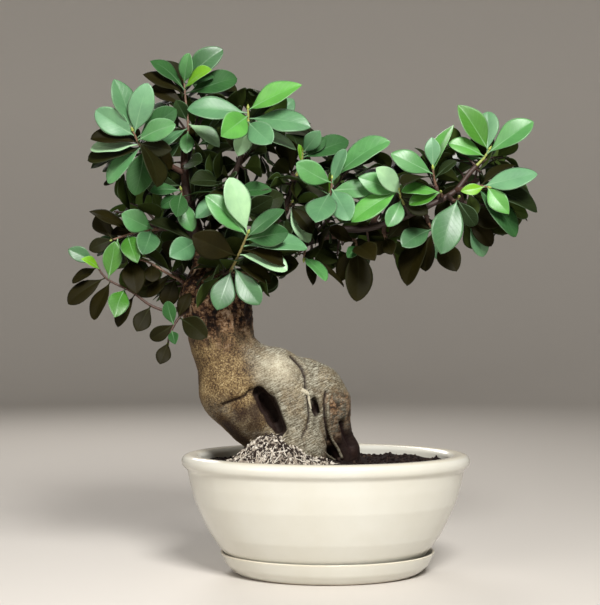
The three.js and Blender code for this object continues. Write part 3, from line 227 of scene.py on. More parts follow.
# The far side's shoots, on a limb of their own: name, the limb's radii and places, the shoot's tip.
BACK_SHOOTS = [
    ("back_top", (4.4, 2.4), [(190, 205, -4), (200, 182, 28), (205, 164, 52)], (208, 149, 66)),
    ("back_left", (4.4, 2.4), [(198, 245, -2), (182, 226, 32), (168, 216, 58)], (156, 209, 73)),
    ("back_middle", (5, 2.6), [(216, 280, 10), (226, 250, 42), (232, 232, 70)], (236, 217, 84)),
    ("back_right_of_middle", (4.6, 2.4), [(270, 262, 0), (284, 236, 36), (292, 214, 62)], (295, 199, 77)),
    ("back_centre", (3.2, 2.2), [(306, 242, -2), (324, 225, 30), (334, 208, 52)], (339, 196, 66)),
    ("back_right_inner", (3, 2.2), [(370, 228, -8), (376, 216, 22), (382, 204, 40)], (386, 192, 54)),
    ("back_right", (3, 2), [(412, 214, -12), (422, 204, 14), (430, 194, 34)], (437, 183, 48)),
    ("back_right_tip", (3, 2), [(460, 186, -9), (470, 184, 14), (478, 180, 32)], (486, 176, 49)),
    ("back_upper_left", (3.4, 2), [(185, 170, -3), (190, 150, 22), (194, 134, 38)], (196, 121, 52)),
    ("back_upper_middle", (3, 2), [(239, 163, -26), (252, 150, 0), (262, 138, 20)], (268, 124, 34)),
    ("back_left_low", (4.2, 2.4), [(206, 286, 14), (184, 276, 44), (166, 266, 64)], (153, 260, 79)),
    ("back_low", (4.4, 2.4), [(228, 286, 16), (242, 278, 52), (250, 272, 78)], (256, 268, 97)),
]
BACK_LEAVES = {"back_upper_middle": [(272, 132, 294, 98, 18, OLD, 6)]}
BACK_HIDDEN = 5
for shoot_name, limb_radii, limb_places, shoot_tip in BACK_SHOOTS:
    LIMBS.append((limb_radii, limb_places))
    SHOOTS.append((shoot_name, [limb_places[-1], shoot_tip], BACK_HIDDEN, BACK_LEAVES.get(shoot_name, [])))

# The crown's edge in the photo: across and down.
CROWN_OUTLINE = np.array([
    (150, 60), (165, 57), (189, 52), (222, 48), (214, 70), (237, 76), (238, 90), (262, 84), (301, 82),
    (304, 96), (302, 110), (318, 128), (345, 139), (352, 150), (388, 138), (386, 153), (410, 150),
    (431, 138), (441, 126), (455, 122), (461, 105), (489, 111), (500, 118), (533, 121), (524, 138),
    (514, 152), (538, 173), (534, 192), (538, 211), (518, 236), (490, 246), (457, 268), (440, 262),
    (426, 270), (405, 282), (390, 254), (373, 258), (362, 298), (351, 298), (343, 284), (325, 279),
    (312, 262), (302, 262), (292, 270), (262, 303), (250, 298), (240, 285), (222, 306), (210, 302),
    (198, 330), (180, 320), (170, 300), (150, 300), (128, 292), (112, 270), (100, 262), (90, 255),
    (97, 215), (92, 206), (110, 196), (106, 184), (88, 163), (92, 140), (96, 110), (112, 80),
    (127, 82), (148, 84)], float)

# Small leaves that only the dressed model has, in rows like those above.
# The dark ones are leaves painted in shade, set in shadowed gaps of the crown and over limbs that pass
# through shadow.
SMALL_LEAVES = {
    "shoot_middle": [(302, 156, 299, 144, 6, YOUNG)],
    "shoot_right_of_middle": [(334, 176, 337, 163, 6, YOUNG)],
    "spray_drooping": [(94, 263, 82, 258, 7, YOUNG)],
    "shoot_upper_middle": [(249, 115, 273, 101, 9, DARK)],
    "shoot_top": [(188, 83, 210, 68, 9, YOUNG)],
    "shoot_upper_left": [(137, 143, 172, 150, 17, DARK), (142, 150, 173, 168, 17, DARK),
                         (143, 152, 158, 186, 17, DARK)],
    "shoot_hanging_outer": [(384, 235, 352, 228, 14, DARK), (386, 234, 408, 216, 16, DARK)],
    "shoot_right_under": [(428, 222, 398, 212, 16, DARK), (430, 222, 446, 198, 14, DARK)],
    "shoot_right_first": [(402, 198, 428, 214, 15, DARK)],
    "shoot_hanging": [(354, 241, 328, 228, 13, DARK)],
}

# The hidden leaves: length, width over length, and in degrees the lean from the stem and the turns
# round it from leaf to leaf and from shoot to shoot.
FILL_LENGTH, FILL_WIDTH, FILL_LEAN = (40, 56), 0.45, (50, 88)
GOLDEN_TURN, SHOOT_TURN = 137.5, 40
FILL_SEED = 20241
FILL_TONES = 5


# ---- Placing by sight ----
class Draws:
    """A seeded run of numbers between 0 and 1, the same as in the solids."""

    def __init__(self, seed):
        self.state = seed

    def one(self):
        self.state = (self.state * 16807) % 2147483647
        return self.state / 2147483647

    def between(self, low, high):
        return low + (high - low) * self.one()


def place(across, down, depth):
    """The point that is seen at a place in the photo, so much deeper than the plane of the pot."""
    middle = np.array([CORNER_ACROSS + across, 0.0, CORNER_TOP - down])
    return middle + (EYE - middle) * (depth / EYE[1])


def seen(points):
    """Where points are seen in the photo: across and down."""
    share = EYE[1] / (EYE[1] - points[..., 1])
    across = EYE[0] + (points[..., 0] - EYE[0]) * share - CORNER_ACROSS
    down = CORNER_TOP - EYE[2] - (points[..., 2] - EYE[2]) * share
    return across, down


def inside_outline(across, down):
    x1, y1 = CROWN_OUTLINE[:, 0], CROWN_OUTLINE[:, 1]
    x2, y2 = np.roll(x1, -1), np.roll(y1, -1)
    a, d = across[..., None], down[..., None]
    crosses = (y1 > d) != (y2 > d)
    with np.errstate(divide="ignore", invalid="ignore"):
        left = a < x1 + ((d - y1) / (y2 - y1)) * (x2 - x1)
    return np.sum(crosses & left, axis=-1) % 2 == 1


def unit(v):
    return v / np.linalg.norm(v)


def turned(v, axis, angle):
    """v turned about a unit axis."""
    return (v * math.cos(angle) + np.cross(axis, v) * math.sin(angle)
            + axis * np.dot(axis, v) * (1 - math.cos(angle)))


# ---- The trunk's field: distance from its surface, less than nothing inside ----
FAR = 1e3


def lobe_distance(points, lobe):
    (a0, d0, y0, r0), (a1, d1, y1, r1) = lobe
    start, end = place(a0, d0, y0), place(a1, d1, y1)
    along = end - start
    offset = points - start
    share = np.clip(offset @ along / (along @ along), 0, 1)
    radius = r0 + (r1 - r0) * share
    return np.linalg.norm(offset - share[..., None] * along, axis=-1) - radius


def blend_nearer(a, b, width):
    overlap = np.maximum(0, width - np.abs(a - b)) / width
    return np.minimum(a, b) - overlap * overlap * width * 0.25


def blended(points, lobes):
    wood = np.full(points.shape[:-1], FAR)
    for lobe in lobes:
        wood = blend_nearer(wood, lobe_distance(points, lobe), LOBE_BLEND)
    return wood


def trunk_field(points):
    wood = blended(points, LOBES)
    holes = np.full(points.shape[:-1], FAR)
    for lobe in HOLLOWS:
        holes = np.minimum(holes, lobe_distance(points, lobe))
    return -blend_nearer(-wood, holes, HOLLOW_BLEND)


# ---- Where each leaf sits: the same rule as in the solids ----
LEAF_STALK = 0.1
LEAF_BLUNT = 0.72


def leaf_outline(share):
    """Half width over width, along a leaf from its foot to its tip."""
    blade = np.clip((share - LEAF_STALK) / (1 - LEAF_STALK), 0, 1)
    return 0.5 * np.sin(math.pi * blade) ** LEAF_BLUNT


def leaf_rise(share, length):
    return 4 * LEAF_ARCH * length * share * (1 - share)


class Leaf:
    MEASURES = ("foot", "along", "up", "across", "middle", "length", "width")

    def __init__(self, foot, tip, upward, width):
        self.foot, self.tip = foot, tip
        self.middle = (foot + tip) / 2
        along = tip - foot
        self.length = float(np.linalg.norm(along))
        self.along = along / self.length
        self.up = unit(upward - self.along * np.dot(upward, self.along))
        self.across = np.cross(self.along, self.up)
        self.width = width

    def spots(self, share, side):
        """Points on the blade: a share of its length along, and a share of its half width aside."""
        half = leaf_outline(share) * self.width
        return (self.foot + share * self.length * self.along
                + leaf_rise(share, self.length) * self.up + side * half * self.across)


def table_of(leaves):
    return {key: np.array([getattr(leaf, key) for leaf in leaves]) for key in Leaf.MEASURES}


SAMPLE_SHARES = np.array([0.04, 0.12, 0.2, 0.3, 0.4, 0.5, 0.6, 0.7, 0.8, 0.9, 1.0])[None, :, None]
SAMPLE_SIDES = np.array([-1, -0.5, 0, 0.5, 1])[:, None, None]
# Closer samples, which fill a leaf's blade on the picture plane.
COVER_SHARES = np.linspace(0.1, 1, 22)[:, None, None]
COVER_SIDES = np.linspace(-1, 1, 9)[None, :, None]
COVER_CELL, COVER_SIZE = 2.5, 260
BEHIND = 2.0          # how far a hidden leaf lies behind a leaf that covers it
MAY_HIDE = 0.08       # the share of a hidden leaf that may lie nearer than that
WOOD_NEAR = 30.0
WOOD_STEP = 3.0
NECK_TOP = 315.0      # no leaf that is higher all over can meet the trunk
TRUNK_ROOM = 2.0
NEAR_LEAF = 6.0
KIN_START, OTHER_START, WOOD_START = 0.12, 0.08, 0.05
KIN_SAMPLES = 3       # leaves of one shoot may meet at their feet
CLEAR, MEETS_KIN, MEETS = 0, 1, 2


def cover_cells(points):
    across, down = seen(points)
    return (across / COVER_CELL).astype(int), (down / COVER_CELL).astype(int)


def meets_trunk(lines):
    return lines[..., 2].min() < NECK_TOP and np.any(trunk_field(lines) < TRUNK_ROOM)


def meet(leaves, start, lines, kin):
    """Whether lines of samples come too near each leaf's blade or pass through it."""
    offset = lines - leaves["foot"][:, None, None]
    length, width = leaves["length"][:, None, None], leaves["width"][:, None, None]

    def measured(axis):
        return np.einsum("mijk,mk->mij", offset, np.broadcast_to(leaves[axis], (len(lines), 3)))

    share = measured("along") / length
    inside = np.clip(share, 0, 1)
    height = measured("up") - leaf_rise(inside, length)
    margin = LEAF_ROOM / length
    over = (share > start[:, None, None] - margin) & (share < 1 + margin)
    over &= np.abs(measured("across")) < leaf_outline(inside) * width + LEAF_ROOM
    over[kin, :, :KIN_SAMPLES] = False
    close = over & (np.abs(height) < LEAF_ROOM)
    through = over[:, :, 1:] & over[:, :, :-1] & (height[:, :, 1:] * height[:, :, :-1] < 0)
    return np.any(close, axis=(1, 2)) | np.any(through, axis=(1, 2))


class Grove:
    """The leaves placed so far, with the limbs and stems that they keep clear of."""

    def __init__(self, woods):
        self.leaves, self.lines, self.owners = [], [], []
        self.table = self.cover = None
        points, radii, owners = [], [], []
        for path, (thick, thin), owner in woods:
            for i, (here, there) in enumerate(zip(path, path[1:])):
                count = math.ceil(np.linalg.norm(there - here) / WOOD_STEP)
                for n in range(count + 1):
                    share = (i + n / count) / (len(path) - 1)
                    points.append(here + (there - here) * (n / count))
                    radii.append(thick + (thin - thick) * share)
                    owners.append(owner)
        self.wood_points, self.wood_radii, self.wood_owners = map(np.array, (points, radii, owners))

    def meets_wood(self, leaf, owner):
        near = np.linalg.norm(self.wood_points - leaf.middle, axis=1) < leaf.length / 2 + WOOD_NEAR
        offset = self.wood_points[near] - leaf.foot
        share = offset @ leaf.along / leaf.length
        inside = np.clip(share, 0, 1)
        height = offset @ leaf.up - leaf_rise(inside, leaf.length)
        extra = self.wood_radii[near] + WOOD_ROOM
        margin = extra / leaf.length
        over = (share > WOOD_START - margin) & (share < 1 + margin)
        over &= np.abs(offset @ leaf.across) < leaf_outline(inside) * leaf.width + extra
        return bool(np.any(over & (np.abs(height) < extra) & (self.wood_owners[near] != owner)))

    def note_cover(self, leaves):
        """Keeps how near the nearest of these leaves is to the viewer, over the picture plane."""
        self.cover = np.full((COVER_SIZE, COVER_SIZE), FAR)
        for leaf in leaves:
            points = leaf.spots(COVER_SHARES, COVER_SIDES)
            np.minimum.at(self.cover, cover_cells(points), points[..., 1])

    def hides_another(self, lines):
        if self.cover is None:
            return False
        front = self.cover[cover_cells(lines)]
        return np.mean((front < FAR) & (lines[..., 1] < front + BEHIND)) > MAY_HIDE

    def trouble(self, leaf, owner, hidden):
        """Whether a leaf meets something where it would sit, and its lines of samples."""
        lines = leaf.spots(SAMPLE_SHARES, SAMPLE_SIDES)
        if hidden and (self.hides_another(lines) or not np.all(inside_outline(*seen(lines)))):
            return MEETS, lines
        if self.meets_wood(leaf, owner) or meets_trunk(lines):
            return MEETS, lines
        if not self.leaves:
            return CLEAR, lines
        apart = np.linalg.norm(self.table["middle"] - leaf.middle, axis=1)
        near = apart <= (self.table["length"] + leaf.length) / 2 + NEAR_LEAF
        if not np.any(near):
            return CLEAR, lines
        others = {key: value[near] for key, value in self.table.items()}
        kin = others["owner"] == owner
        start = np.where(kin, KIN_START, OTHER_START)
        hit = meet(others, start, np.broadcast_to(lines, others["lines"].shape), kin)
        hit |= meet(table_of([leaf]), start, others["lines"], kin)
        if np.any(hit & ~kin):
            return MEETS, lines
        return (MEETS_KIN if np.any(hit) else CLEAR), lines

    def twig_meets(self, twig):
        """Whether a twig would pass through a leaf, past its first stretch."""
        line = smooth_path(twig, LIMB_STEP)[None, None, 1:]
        count = len(self.leaves)
        lines = np.broadcast_to(line, (count, *line.shape[1:]))
        return bool(np.any(meet(self.table, np.zeros(count), lines, np.zeros(count, bool))))

    def settle(self, ways, owner, hidden, worst=MEETS_KIN):
        """Places a leaf the first clear way, or else the best; a hidden one may be left out."""
        best = None
        for leaf in ways:
            bad, lines = self.trouble(leaf, owner, hidden)
            if best is None or bad < best[1]:
                best = (leaf, bad, lines)
            if bad == CLEAR:
                break
        if hidden and best[1] > worst:
            return None
        self.leaves.append(best[0])
        self.lines.append(best[2])
        self.owners.append(owner)
        self.table = {**table_of(self.leaves), "lines": np.array(self.lines), "owner": np.array(self.owners)}
        return best[0]


FOOT_STEP = 2.6
FOOT_SHARE = 0.4
BARE_STEM = 4.0


def feet_of(path):
    """Places for leaves' feet along a stem, from its tip, each with how many leaves stand on it."""
    feet = []
    for i in range(len(path) - 1, 0, -1):
        length = float(np.linalg.norm(path[i] - path[i - 1]))
        count = max(1, math.floor(length / FOOT_STEP + 0.5))
        for n in range(count):
            back = (n + FOOT_SHARE) / count
            if i == 1 and (1 - back) * length < BARE_STEM:
                continue
            feet.append([path[i] + (path[i - 1] - path[i]) * back, 0])
    return feet


def take_foot(feet, across, down):
    """The nearest of the least used feet."""
    best = None
    for foot in feet:
        x, y = seen(foot[0])
        far = math.hypot(x - across, y - down) + FAR * foot[1]
        if best is None or far < best[0]:
            best = (far, foot)
    best[1][1] += 1
    return best[1][0]


DEPTH_STEPS = (0, -7, 7, -14, 14, -21, 21, -28, 28, -36, 36, -44, 44)
SLENDER, STOCKY, WIDEST = 0.44, 2, 2.4
FORESHORTENED = 1.02
SKYWARD = np.array([0, -0.5, 0.85])
STEM_ROOM = (2, 1.2)


def seen_leaf(foot, row, extra):
    """A leaf as its row says, leaning towards the viewer unless the row gives its tip's depth."""
    _, _, tip_across, tip_down, width, _, *depth = row
    foot_across, foot_down = seen(foot)
    apparent = math.hypot(tip_across - foot_across, tip_down - foot_down)
    full = max(apparent * FORESHORTENED, STOCKY * width)
    forward = depth[0] if depth else -math.sqrt(full * full - apparent * apparent)
    tip = place(tip_across, tip_down, foot[1] + forward + extra)
    length = float(np.linalg.norm(tip - foot))
    along = (tip - foot) / length
    scale = 1 - tip[1] / EYE[1]
    real = max(width * scale, min(SLENDER * length, WIDEST * width * scale))
    to_eye = unit(EYE - foot)
    facing = unit(to_eye - along * np.dot(to_eye, along))
    turn = math.acos(min(1, (width * scale) / real))
    ways = [turned(facing, along, angle) for angle in (turn, -turn)]
    return Leaf(foot, tip, max(ways, key=lambda way: np.dot(way, SKYWARD)), real)


# The ways to try a hidden leaf, first as it is: degrees more lean, and degrees round the stem.
BENDS = ((0, 0), (10, 0), (-10, 0), (0, 12), (0, -12), (18, 10), (-18, -10), (0, 24), (0, -24),
         (-28, 0), (24, -20))


# A way that no stem runs along, and how much a hidden leaf's upper side turns up.
NEARLY_UP, TURNED_UP = np.array([0.2, 0.1, 1.0]), np.array([0, 0, 0.8])


def fill_leaf(path, foot, turn, lean, length):
    axis = unit(path[-1] - path[-2])
    radial = turned(unit(np.cross(NEARLY_UP, axis)), axis, turn)
    angle = math.radians(lean)
    along = axis * math.cos(angle) + radial * math.sin(angle)
    return Leaf(foot, foot + along * length, axis + TURNED_UP, FILL_WIDTH * length)


def fill_ways(path, foot, turn, lean, length):
    return [fill_leaf(path, foot, turn + math.radians(swing), lean + tilt, length) for tilt, swing in BENDS]


def grow():
    """Every leaf with its shoot's number and its tone, the shoots' stems, and the side twigs."""
    names = [name for name, _, _, _ in SHOOTS]
    stems = [[place(*p) for p in stem] for _, stem, _, _ in SHOOTS]
    feet = [feet_of(path) for path in stems]
    grove = Grove([([place(*p) for p in path], radii, "trunk") for radii, path in LIMBS]
                  + [(stem, STEM_ROOM, name) for name, stem in zip(names, stems)])

    def placed(i, rows):
        leaves = []
        for row in rows:
            foot = take_foot(feet[i], row[0], row[1])
            leaf = grove.settle([seen_leaf(foot, row, extra) for extra in DEPTH_STEPS], names[i], False)
            leaves.append((i, leaf, row[5]))
        return leaves

    in_front = [leaf for i, shoot in enumerate(SHOOTS) for leaf in placed(i, shoot[3])]
    hidden = []
    draws = Draws(FILL_SEED)
    for i, (name, _, fill, _) in enumerate(SHOOTS):
        for n in range(fill):
            turn = math.radians(GOLDEN_TURN * n + SHOOT_TURN * i)
            lean = draws.between(*FILL_LEAN)
            length = draws.between(*FILL_LENGTH)
            foot = take_foot(feet[i], *seen(stems[i][-1]))
            leaf = grove.settle(fill_ways(stems[i], foot, turn, lean, length), name, True)
            if leaf:
                # Hidden leaves are painted in shade, from near-black to dark green, a little less dark on
                # the far side's shoots.
                base = SHADED if name.startswith("back") else DARK
                hidden.append((i, leaf, base + DEEP * ((7 * n + i) % FILL_TONES) / FILL_TONES))
    small = [leaf for name, rows in SMALL_LEAVES.items() for leaf in placed(names.index(name), rows)]
    grown = in_front + hidden + small
    grove.note_cover([leaf for _, leaf, _ in in_front + small])
    twigs = side_twigs(grove, grown, stems)
    return grown, stems, twigs


TWIG_SEED = 77
TWIG_TRIES = 420
TWIG_REACH = (9, 48)
TWIG_DEPTH = (6, 34)
TWIG_LEAVES = 6
TWIG_SHORT = 10.0
TWIG_WANDER = 10.0
TWIG_TRUNK_ROOM = 4.0
TWIG_LEAN = (25, 85)
LEAF_SPACING = 0.16
AROUND, FRONT_SHARE = 9, 85
INNER_LENGTH = (27, 44)
# Leaves on the side twigs are painted in shade, a little lighter when they lie far back.
INNER_TONES = (DARK, 0.13)
INNER_WIDER = 1.22
REAR_DEPTH = 40.0
REAR_LIGHTER = 0.12


def side_twigs(grove, grown, stems):
    """Twigs that reach from the limbs into the crown's open places, leafy behind the leaves in front."""
    random = np.random.RandomState(TWIG_SEED)
    paths = [smooth_path([place(*spot) for spot in places], LIMB_STEP) for _, places in LIMBS]
    wood = np.concatenate([path[2:] for path in paths])
    cells = np.argwhere(grove.cover > -FAR)
    spots = (cells + 0.5) * COVER_CELL
    crown = inside_outline(*spots.T)
    cells, spots = cells[crown], spots[crown]
    covered = np.zeros(grove.cover.shape, bool)
    for _, leaf, _ in grown:
        covered[cover_cells(leaf.spots(COVER_SHARES, COVER_SIDES))] = True
    twigs = []
    for _ in range(TWIG_TRIES):
        gaps = np.flatnonzero(~covered[tuple(cells.T)])
        n = gaps[random.randint(len(gaps))]
        row, column = cells[n]
        around = grove.cover[row - AROUND:row + AROUND + 1, column - AROUND:column + AROUND + 1]
        front = np.percentile(around[around < FAR], FRONT_SHARE) if np.any(around < FAR) else 0
        target = place(*spots[n], front + random.uniform(*TWIG_DEPTH))
        apart = np.linalg.norm(wood - target, axis=1) + random.uniform(0, TWIG_WANDER, len(wood))
        start = wood[np.argmin(apart)]
        way = target - start
        reach = np.clip(np.linalg.norm(way) - TWIG_SHORT, *TWIG_REACH)
        end = start + unit(way) * reach
        twig = [start, start + (end - start) * 0.5 + np.array([0, 0, 0.1 * reach]), end]
        if trunk_field(end[None])[0] < TWIG_TRUNK_ROOM or grove.twig_meets(twig):
            continue
        owner = min(range(len(SHOOTS)), key=lambda i: np.linalg.norm(stems[i][0] - start))
        kept = 0
        for k in range(TWIG_LEAVES):
            foot = end + (twig[1] - end) * (LEAF_SPACING * k)
            turn = math.radians(GOLDEN_TURN * k) + random.uniform(0, 6)
            lean, length = random.uniform(*TWIG_LEAN), random.uniform(*INNER_LENGTH)
            leaf = grove.settle(fill_ways(twig, foot, turn, lean, length), SHOOTS[owner][0], True, CLEAR)
            if leaf:
                leaf.width *= INNER_WIDER
                # painted shade on the inner leaves, less on those far back
                lighter = REAR_LIGHTER if leaf.tip[1] > REAR_DEPTH else 0
                grown.append((owner, leaf, random.uniform(*INNER_TONES) + lighter))
                covered[cover_cells(leaf.spots(COVER_SHARES, COVER_SIDES))] = True
                kept += 1
        if kept:
            twigs.append((owner, twig))
    return twigs


# ---- Meshes ----
class Bundle:
    """Points, faces and values at the points, gathered for one piece."""

    def __init__(self, layers=()):
        self.points, self.faces, self.materials, self.count = [], [], [], 0
        self.layers = {key: [] for key in layers}

    def add(self, points, faces, material=0, **values):
        for group in faces:
            self.faces.extend((np.asarray(group) + self.count).tolist())
            self.materials.extend([material] * len(group))
        self.points.append(np.asarray(points))
        self.count += len(points)
        for key, kept in self.layers.items():
            kept.append(np.broadcast_to(values.get(key, 0.0), (len(points),)))

    def make(self, name, materials):
        mesh = bpy.data.meshes.new(name)
        mesh.from_pydata((np.concatenate(self.points) * MM).tolist(), [], self.faces)
        for key, kept in self.layers.items():
            layer = mesh.attributes.new(key, "FLOAT", "POINT")
            layer.data.foreach_set("value", np.concatenate(kept).astype(np.float32))
        for material in materials:
            mesh.materials.append(material)
        mesh.polygons.foreach_set("material_index", self.materials)
        mesh.shade_smooth()
        mesh.update()
        piece = bpy.data.objects.new(name, mesh)
        bpy.context.scene.collection.objects.link(piece)
        return piece


def grid_faces(rows, columns):
    """Quads over a grid of points, row after row."""
    i, j = np.meshgrid(np.arange(rows - 1), np.arange(columns - 1), indexing="ij")
    corner = (i * columns + j).ravel()
    return np.stack([corner, corner + 1, corner + columns + 1, corner + columns], axis=1)


def ring_faces(rings, sides, turned_over=False):
    """Faces over closed rings of points, then a fan at each end to the two points after the rings."""
    i, j = np.meshgrid(np.arange(rings - 1), np.arange(sides), indexing="ij")
    here, beside = i * sides + j, i * sides + (j + 1) % sides
    quads = np.stack([here, beside, beside + sides, here + sides], axis=-1).reshape(-1, 4)
    n = np.arange(sides)
    m, last = (n + 1) % sides, (rings - 1) * sides
    first_cap = np.stack([np.full(sides, rings * sides), m, n], axis=1)
    last_cap = np.stack([np.full(sides, rings * sides + 1), last + n, last + m], axis=1)
    if turned_over:
        return [quads[:, [0, 3, 2, 1]], first_cap[:, [0, 2, 1]], last_cap[:, [0, 2, 1]]]
    return [quads, first_cap, last_cap]


def angles_of(turns):
    return np.arange(turns) * 2 * math.pi / turns


def smooth_path(path, step):
    """Points every step or so along a curve through the given points."""
    path = [np.asarray(p, float) for p in path]
    ends = [2 * path[0] - path[1]] + path + [2 * path[-1] - path[-2]]
    points = []
    for before, start, end, after in zip(ends, ends[1:], ends[2:], ends[3:]):
        count = max(2, math.ceil(np.linalg.norm(end - start) / step))
        for t in np.arange(count) / count:
            points.append(0.5 * (2 * start + (end - before) * t
                                 + (2 * before - 5 * start + 4 * end - after) * t ** 2
                                 + (3 * start - before - 3 * end + after) * t ** 3))
    return np.array(points + [path[-1]])


def tube(path, radii, sides):
    """A closed round tube along a run of points, with its own radius at each point."""
    path = np.asarray(path, float)
    ahead = np.gradient(path, axis=0)
    ahead /= np.linalg.norm(ahead, axis=1)[:, None]
    across = unit(np.cross(ahead[0], [0.31, 0.52, 0.79]))
    turn = angles_of(sides)[:, None]
    rings = []
    for centre, along, radius in zip(path, ahead, radii):
        across = unit(across - along * np.dot(across, along))
        side = np.cross(along, across)
        rings.append(centre + radius * (np.cos(turn) * across + np.sin(turn) * side))
    return np.concatenate(rings + [path[:1], path[-1:]]), ring_faces(len(path), sides)


class Noise:
    """Seeded smooth noise between -1 and 1."""

    def __init__(self, seed, size=32):
        self.grid = np.random.RandomState(seed).rand(size, size, size)
        self.size = size

    def at(self, points, scale):
        spot = np.asarray(points) / scale
        cell = np.floor(spot).astype(int)
        share = spot - cell
        share = share * share * (3 - 2 * share)
        total = 0
        for corner in np.ndindex(2, 2, 2):
            weight = np.prod(np.where(corner, share, 1 - share), axis=-1)
            index = (cell + corner) % self.size
            total = total + weight * self.grid[index[..., 0], index[..., 1], index[..., 2]]
        return 2 * total - 1

    def rough(self, points, scale, layers=3):
        """Noise with finer noise on it; three layers stay between -1 and 1."""
        return sum(self.at(points, scale / 2 ** n) / 2 ** n for n in range(layers)) / 1.75


def smooth_step(low, high, value):
    share = np.clip((value - low) / (high - low), 0, 1)
    return share * share * (3 - 2 * share)


# ---- Materials ----
class Look:
    """A material and the few nodes that most of the looks share."""

    def __init__(self, name, roughness, **sockets):
        self.material = bpy.data.materials.new(name)
        self.material.use_nodes = True
        self.nodes = self.material.node_tree.nodes
        self.links = self.material.node_tree.links
        self.shader = self.nodes["Principled BSDF"]
        self.shader.inputs["Roughness"].default_value = roughness
        for socket, value in sockets.items():
            self.shader.inputs[socket.replace("_", " ")].default_value = value

    def node(self, kind, inputs=None, **settings):
        node = self.nodes.new(kind)
        for key, value in settings.items():
            setattr(node, key, value)
        for key, value in (inputs or {}).items():
            if isinstance(value, bpy.types.NodeSocket):
                self.links.new(value, node.inputs[key])
            else:
                node.inputs[key].default_value = value
        return node

    def value(self, name):
        return self.node("ShaderNodeAttribute", attribute_name=name).outputs["Fac"]

    def spot(self, grain=(1, 1, 1), lean=0.0):
        """The place on the piece, leant about the depth axis and then drawn out along the grain."""
        position = self.node("ShaderNodeNewGeometry").outputs["Position"]
        inputs = {"Vector": position, "Rotation": (0, lean, 0), "Scale": grain}
        return self.node("ShaderNodeMapping", inputs, vector_type="TEXTURE").outputs["Vector"]

    def noise(self, scale, detail=3.0, grain=(1, 1, 1), roughness=0.55, lean=0.0):
        noise = self.node("ShaderNodeTexNoise", {
            "Vector": self.spot(grain, lean), "Scale": scale, "Detail": detail, "Roughness": roughness})
        return noise.outputs["Fac"]

    def cells(self, scale):
        """Distance from the nearest of many scattered points."""
        cells = self.node("ShaderNodeTexVoronoi", {"Vector": self.spot(), "Scale": scale})
        return cells.outputs["Distance"]

    def maths(self, operation, a, b):
        return self.node("ShaderNodeMath", {0: a, 1: b}, operation=operation).outputs[0]

    def blend(self, a, share, b, other_share):
        return self.maths("ADD", self.maths("MULTIPLY", a, share), self.maths("MULTIPLY", b, other_share))

    def ramp(self, factor, stops):
        node = self.node("ShaderNodeValToRGB", {"Fac": factor})
        elements = node.color_ramp.elements
        while len(elements) < len(stops):
            elements.new(0.5)
        for element, (position, shade) in zip(elements, stops):
            element.position = position
            element.color = (*shade, 1)
        return node.outputs["Color"]

    def mix(self, factor, a, b, blend="MIX"):
        node = self.node("ShaderNodeMix", data_type="RGBA", blend_type=blend)
        for socket, value in (("Factor_Float", factor), ("A_Color", a), ("B_Color", b)):
            target = next(s for s in node.inputs if s.identifier == socket)
            if isinstance(value, bpy.types.NodeSocket):
                self.links.new(value, target)
            else:
                target.default_value = (*value, 1) if isinstance(value, tuple) else value
        return next(s for s in node.outputs if s.identifier == "Result_Color")

    def stretch(self, value, low, high, to_low=0.0, to_high=1.0):
        node = self.node("ShaderNodeMapRange", {
            "Value": value, "From Min": low, "From Max": high, "To Min": to_low, "To Max": to_high})
        return node.outputs[0]

    def paint(self, colour):
        self.links.new(colour, self.shader.inputs["Base Color"])

    def gloss(self, roughness):
        self.links.new(roughness, self.shader.inputs["Roughness"])

    def bump(self, height, strength, distance):
        bump = self.node("ShaderNodeBump", {"Height": height, "Strength": strength, "Distance": distance})
        self.links.new(bump.outputs["Normal"], self.shader.inputs["Normal"])


def glaze_look():
    """Ivory glaze, thin and warm over the rolled edges, thicker and whiter below."""
    look = Look("glaze", 0.2, Coat_Weight=0.4, Coat_Roughness=0.1)
    clouds = look.noise(14, 4)
    tint = look.ramp(clouds, [(0.3, (0.60, 0.58, 0.50)), (0.7, (0.65, 0.64, 0.575))])
    specks = look.ramp(look.noise(900, 2), [(0.18, (0.55, 0.43, 0.28)), (0.27, (1, 1, 1))])
    tint = look.mix(0.4, tint, specks, "MULTIPLY")
    tint = look.mix(look.value("thin"), tint, (0.62, 0.55, 0.41))
    look.paint(look.mix(look.value("bare"), tint, (0.42, 0.31, 0.21)))
    look.gloss(look.stretch(look.value("bare"), 0, 1, 0.2, 0.85))
    look.bump(look.noise(70, 2), 0.05, 0.001)
    return look.material


def soil_look():
    look = Look("soil", 0.95, Specular_IOR_Level=0.15)
    shade = look.maths("ADD", look.noise(220, 4), look.value("tone"))
    look.paint(look.ramp(look.stretch(shade, 0.3, 1.7), [
        (0.0, (0.004, 0.002, 0.002)), (0.45, (0.014, 0.008, 0.007)), (1.0, (0.055, 0.036, 0.026))]))
    look.bump(look.noise(500, 4), 0.7, 0.0012)
    return look.material


def fibre_look():
    """Dry pale root threads and grit with dark earth between them."""
    look = Look("root_fibre", 0.9, Specular_IOR_Level=0.3)
    shade = look.maths("ADD", look.maths("MULTIPLY", look.noise(300, 3), 0.5), look.value("tone"))
    look.paint(look.ramp(shade, [
        (0.1, (0.010, 0.005, 0.004)), (0.45, (0.085, 0.058, 0.042)), (0.8, (0.36, 0.31, 0.25)),
        (1.0, (0.62, 0.57, 0.49))]))
    look.bump(look.noise(900, 3), 0.5, 0.0006)
    return look.material


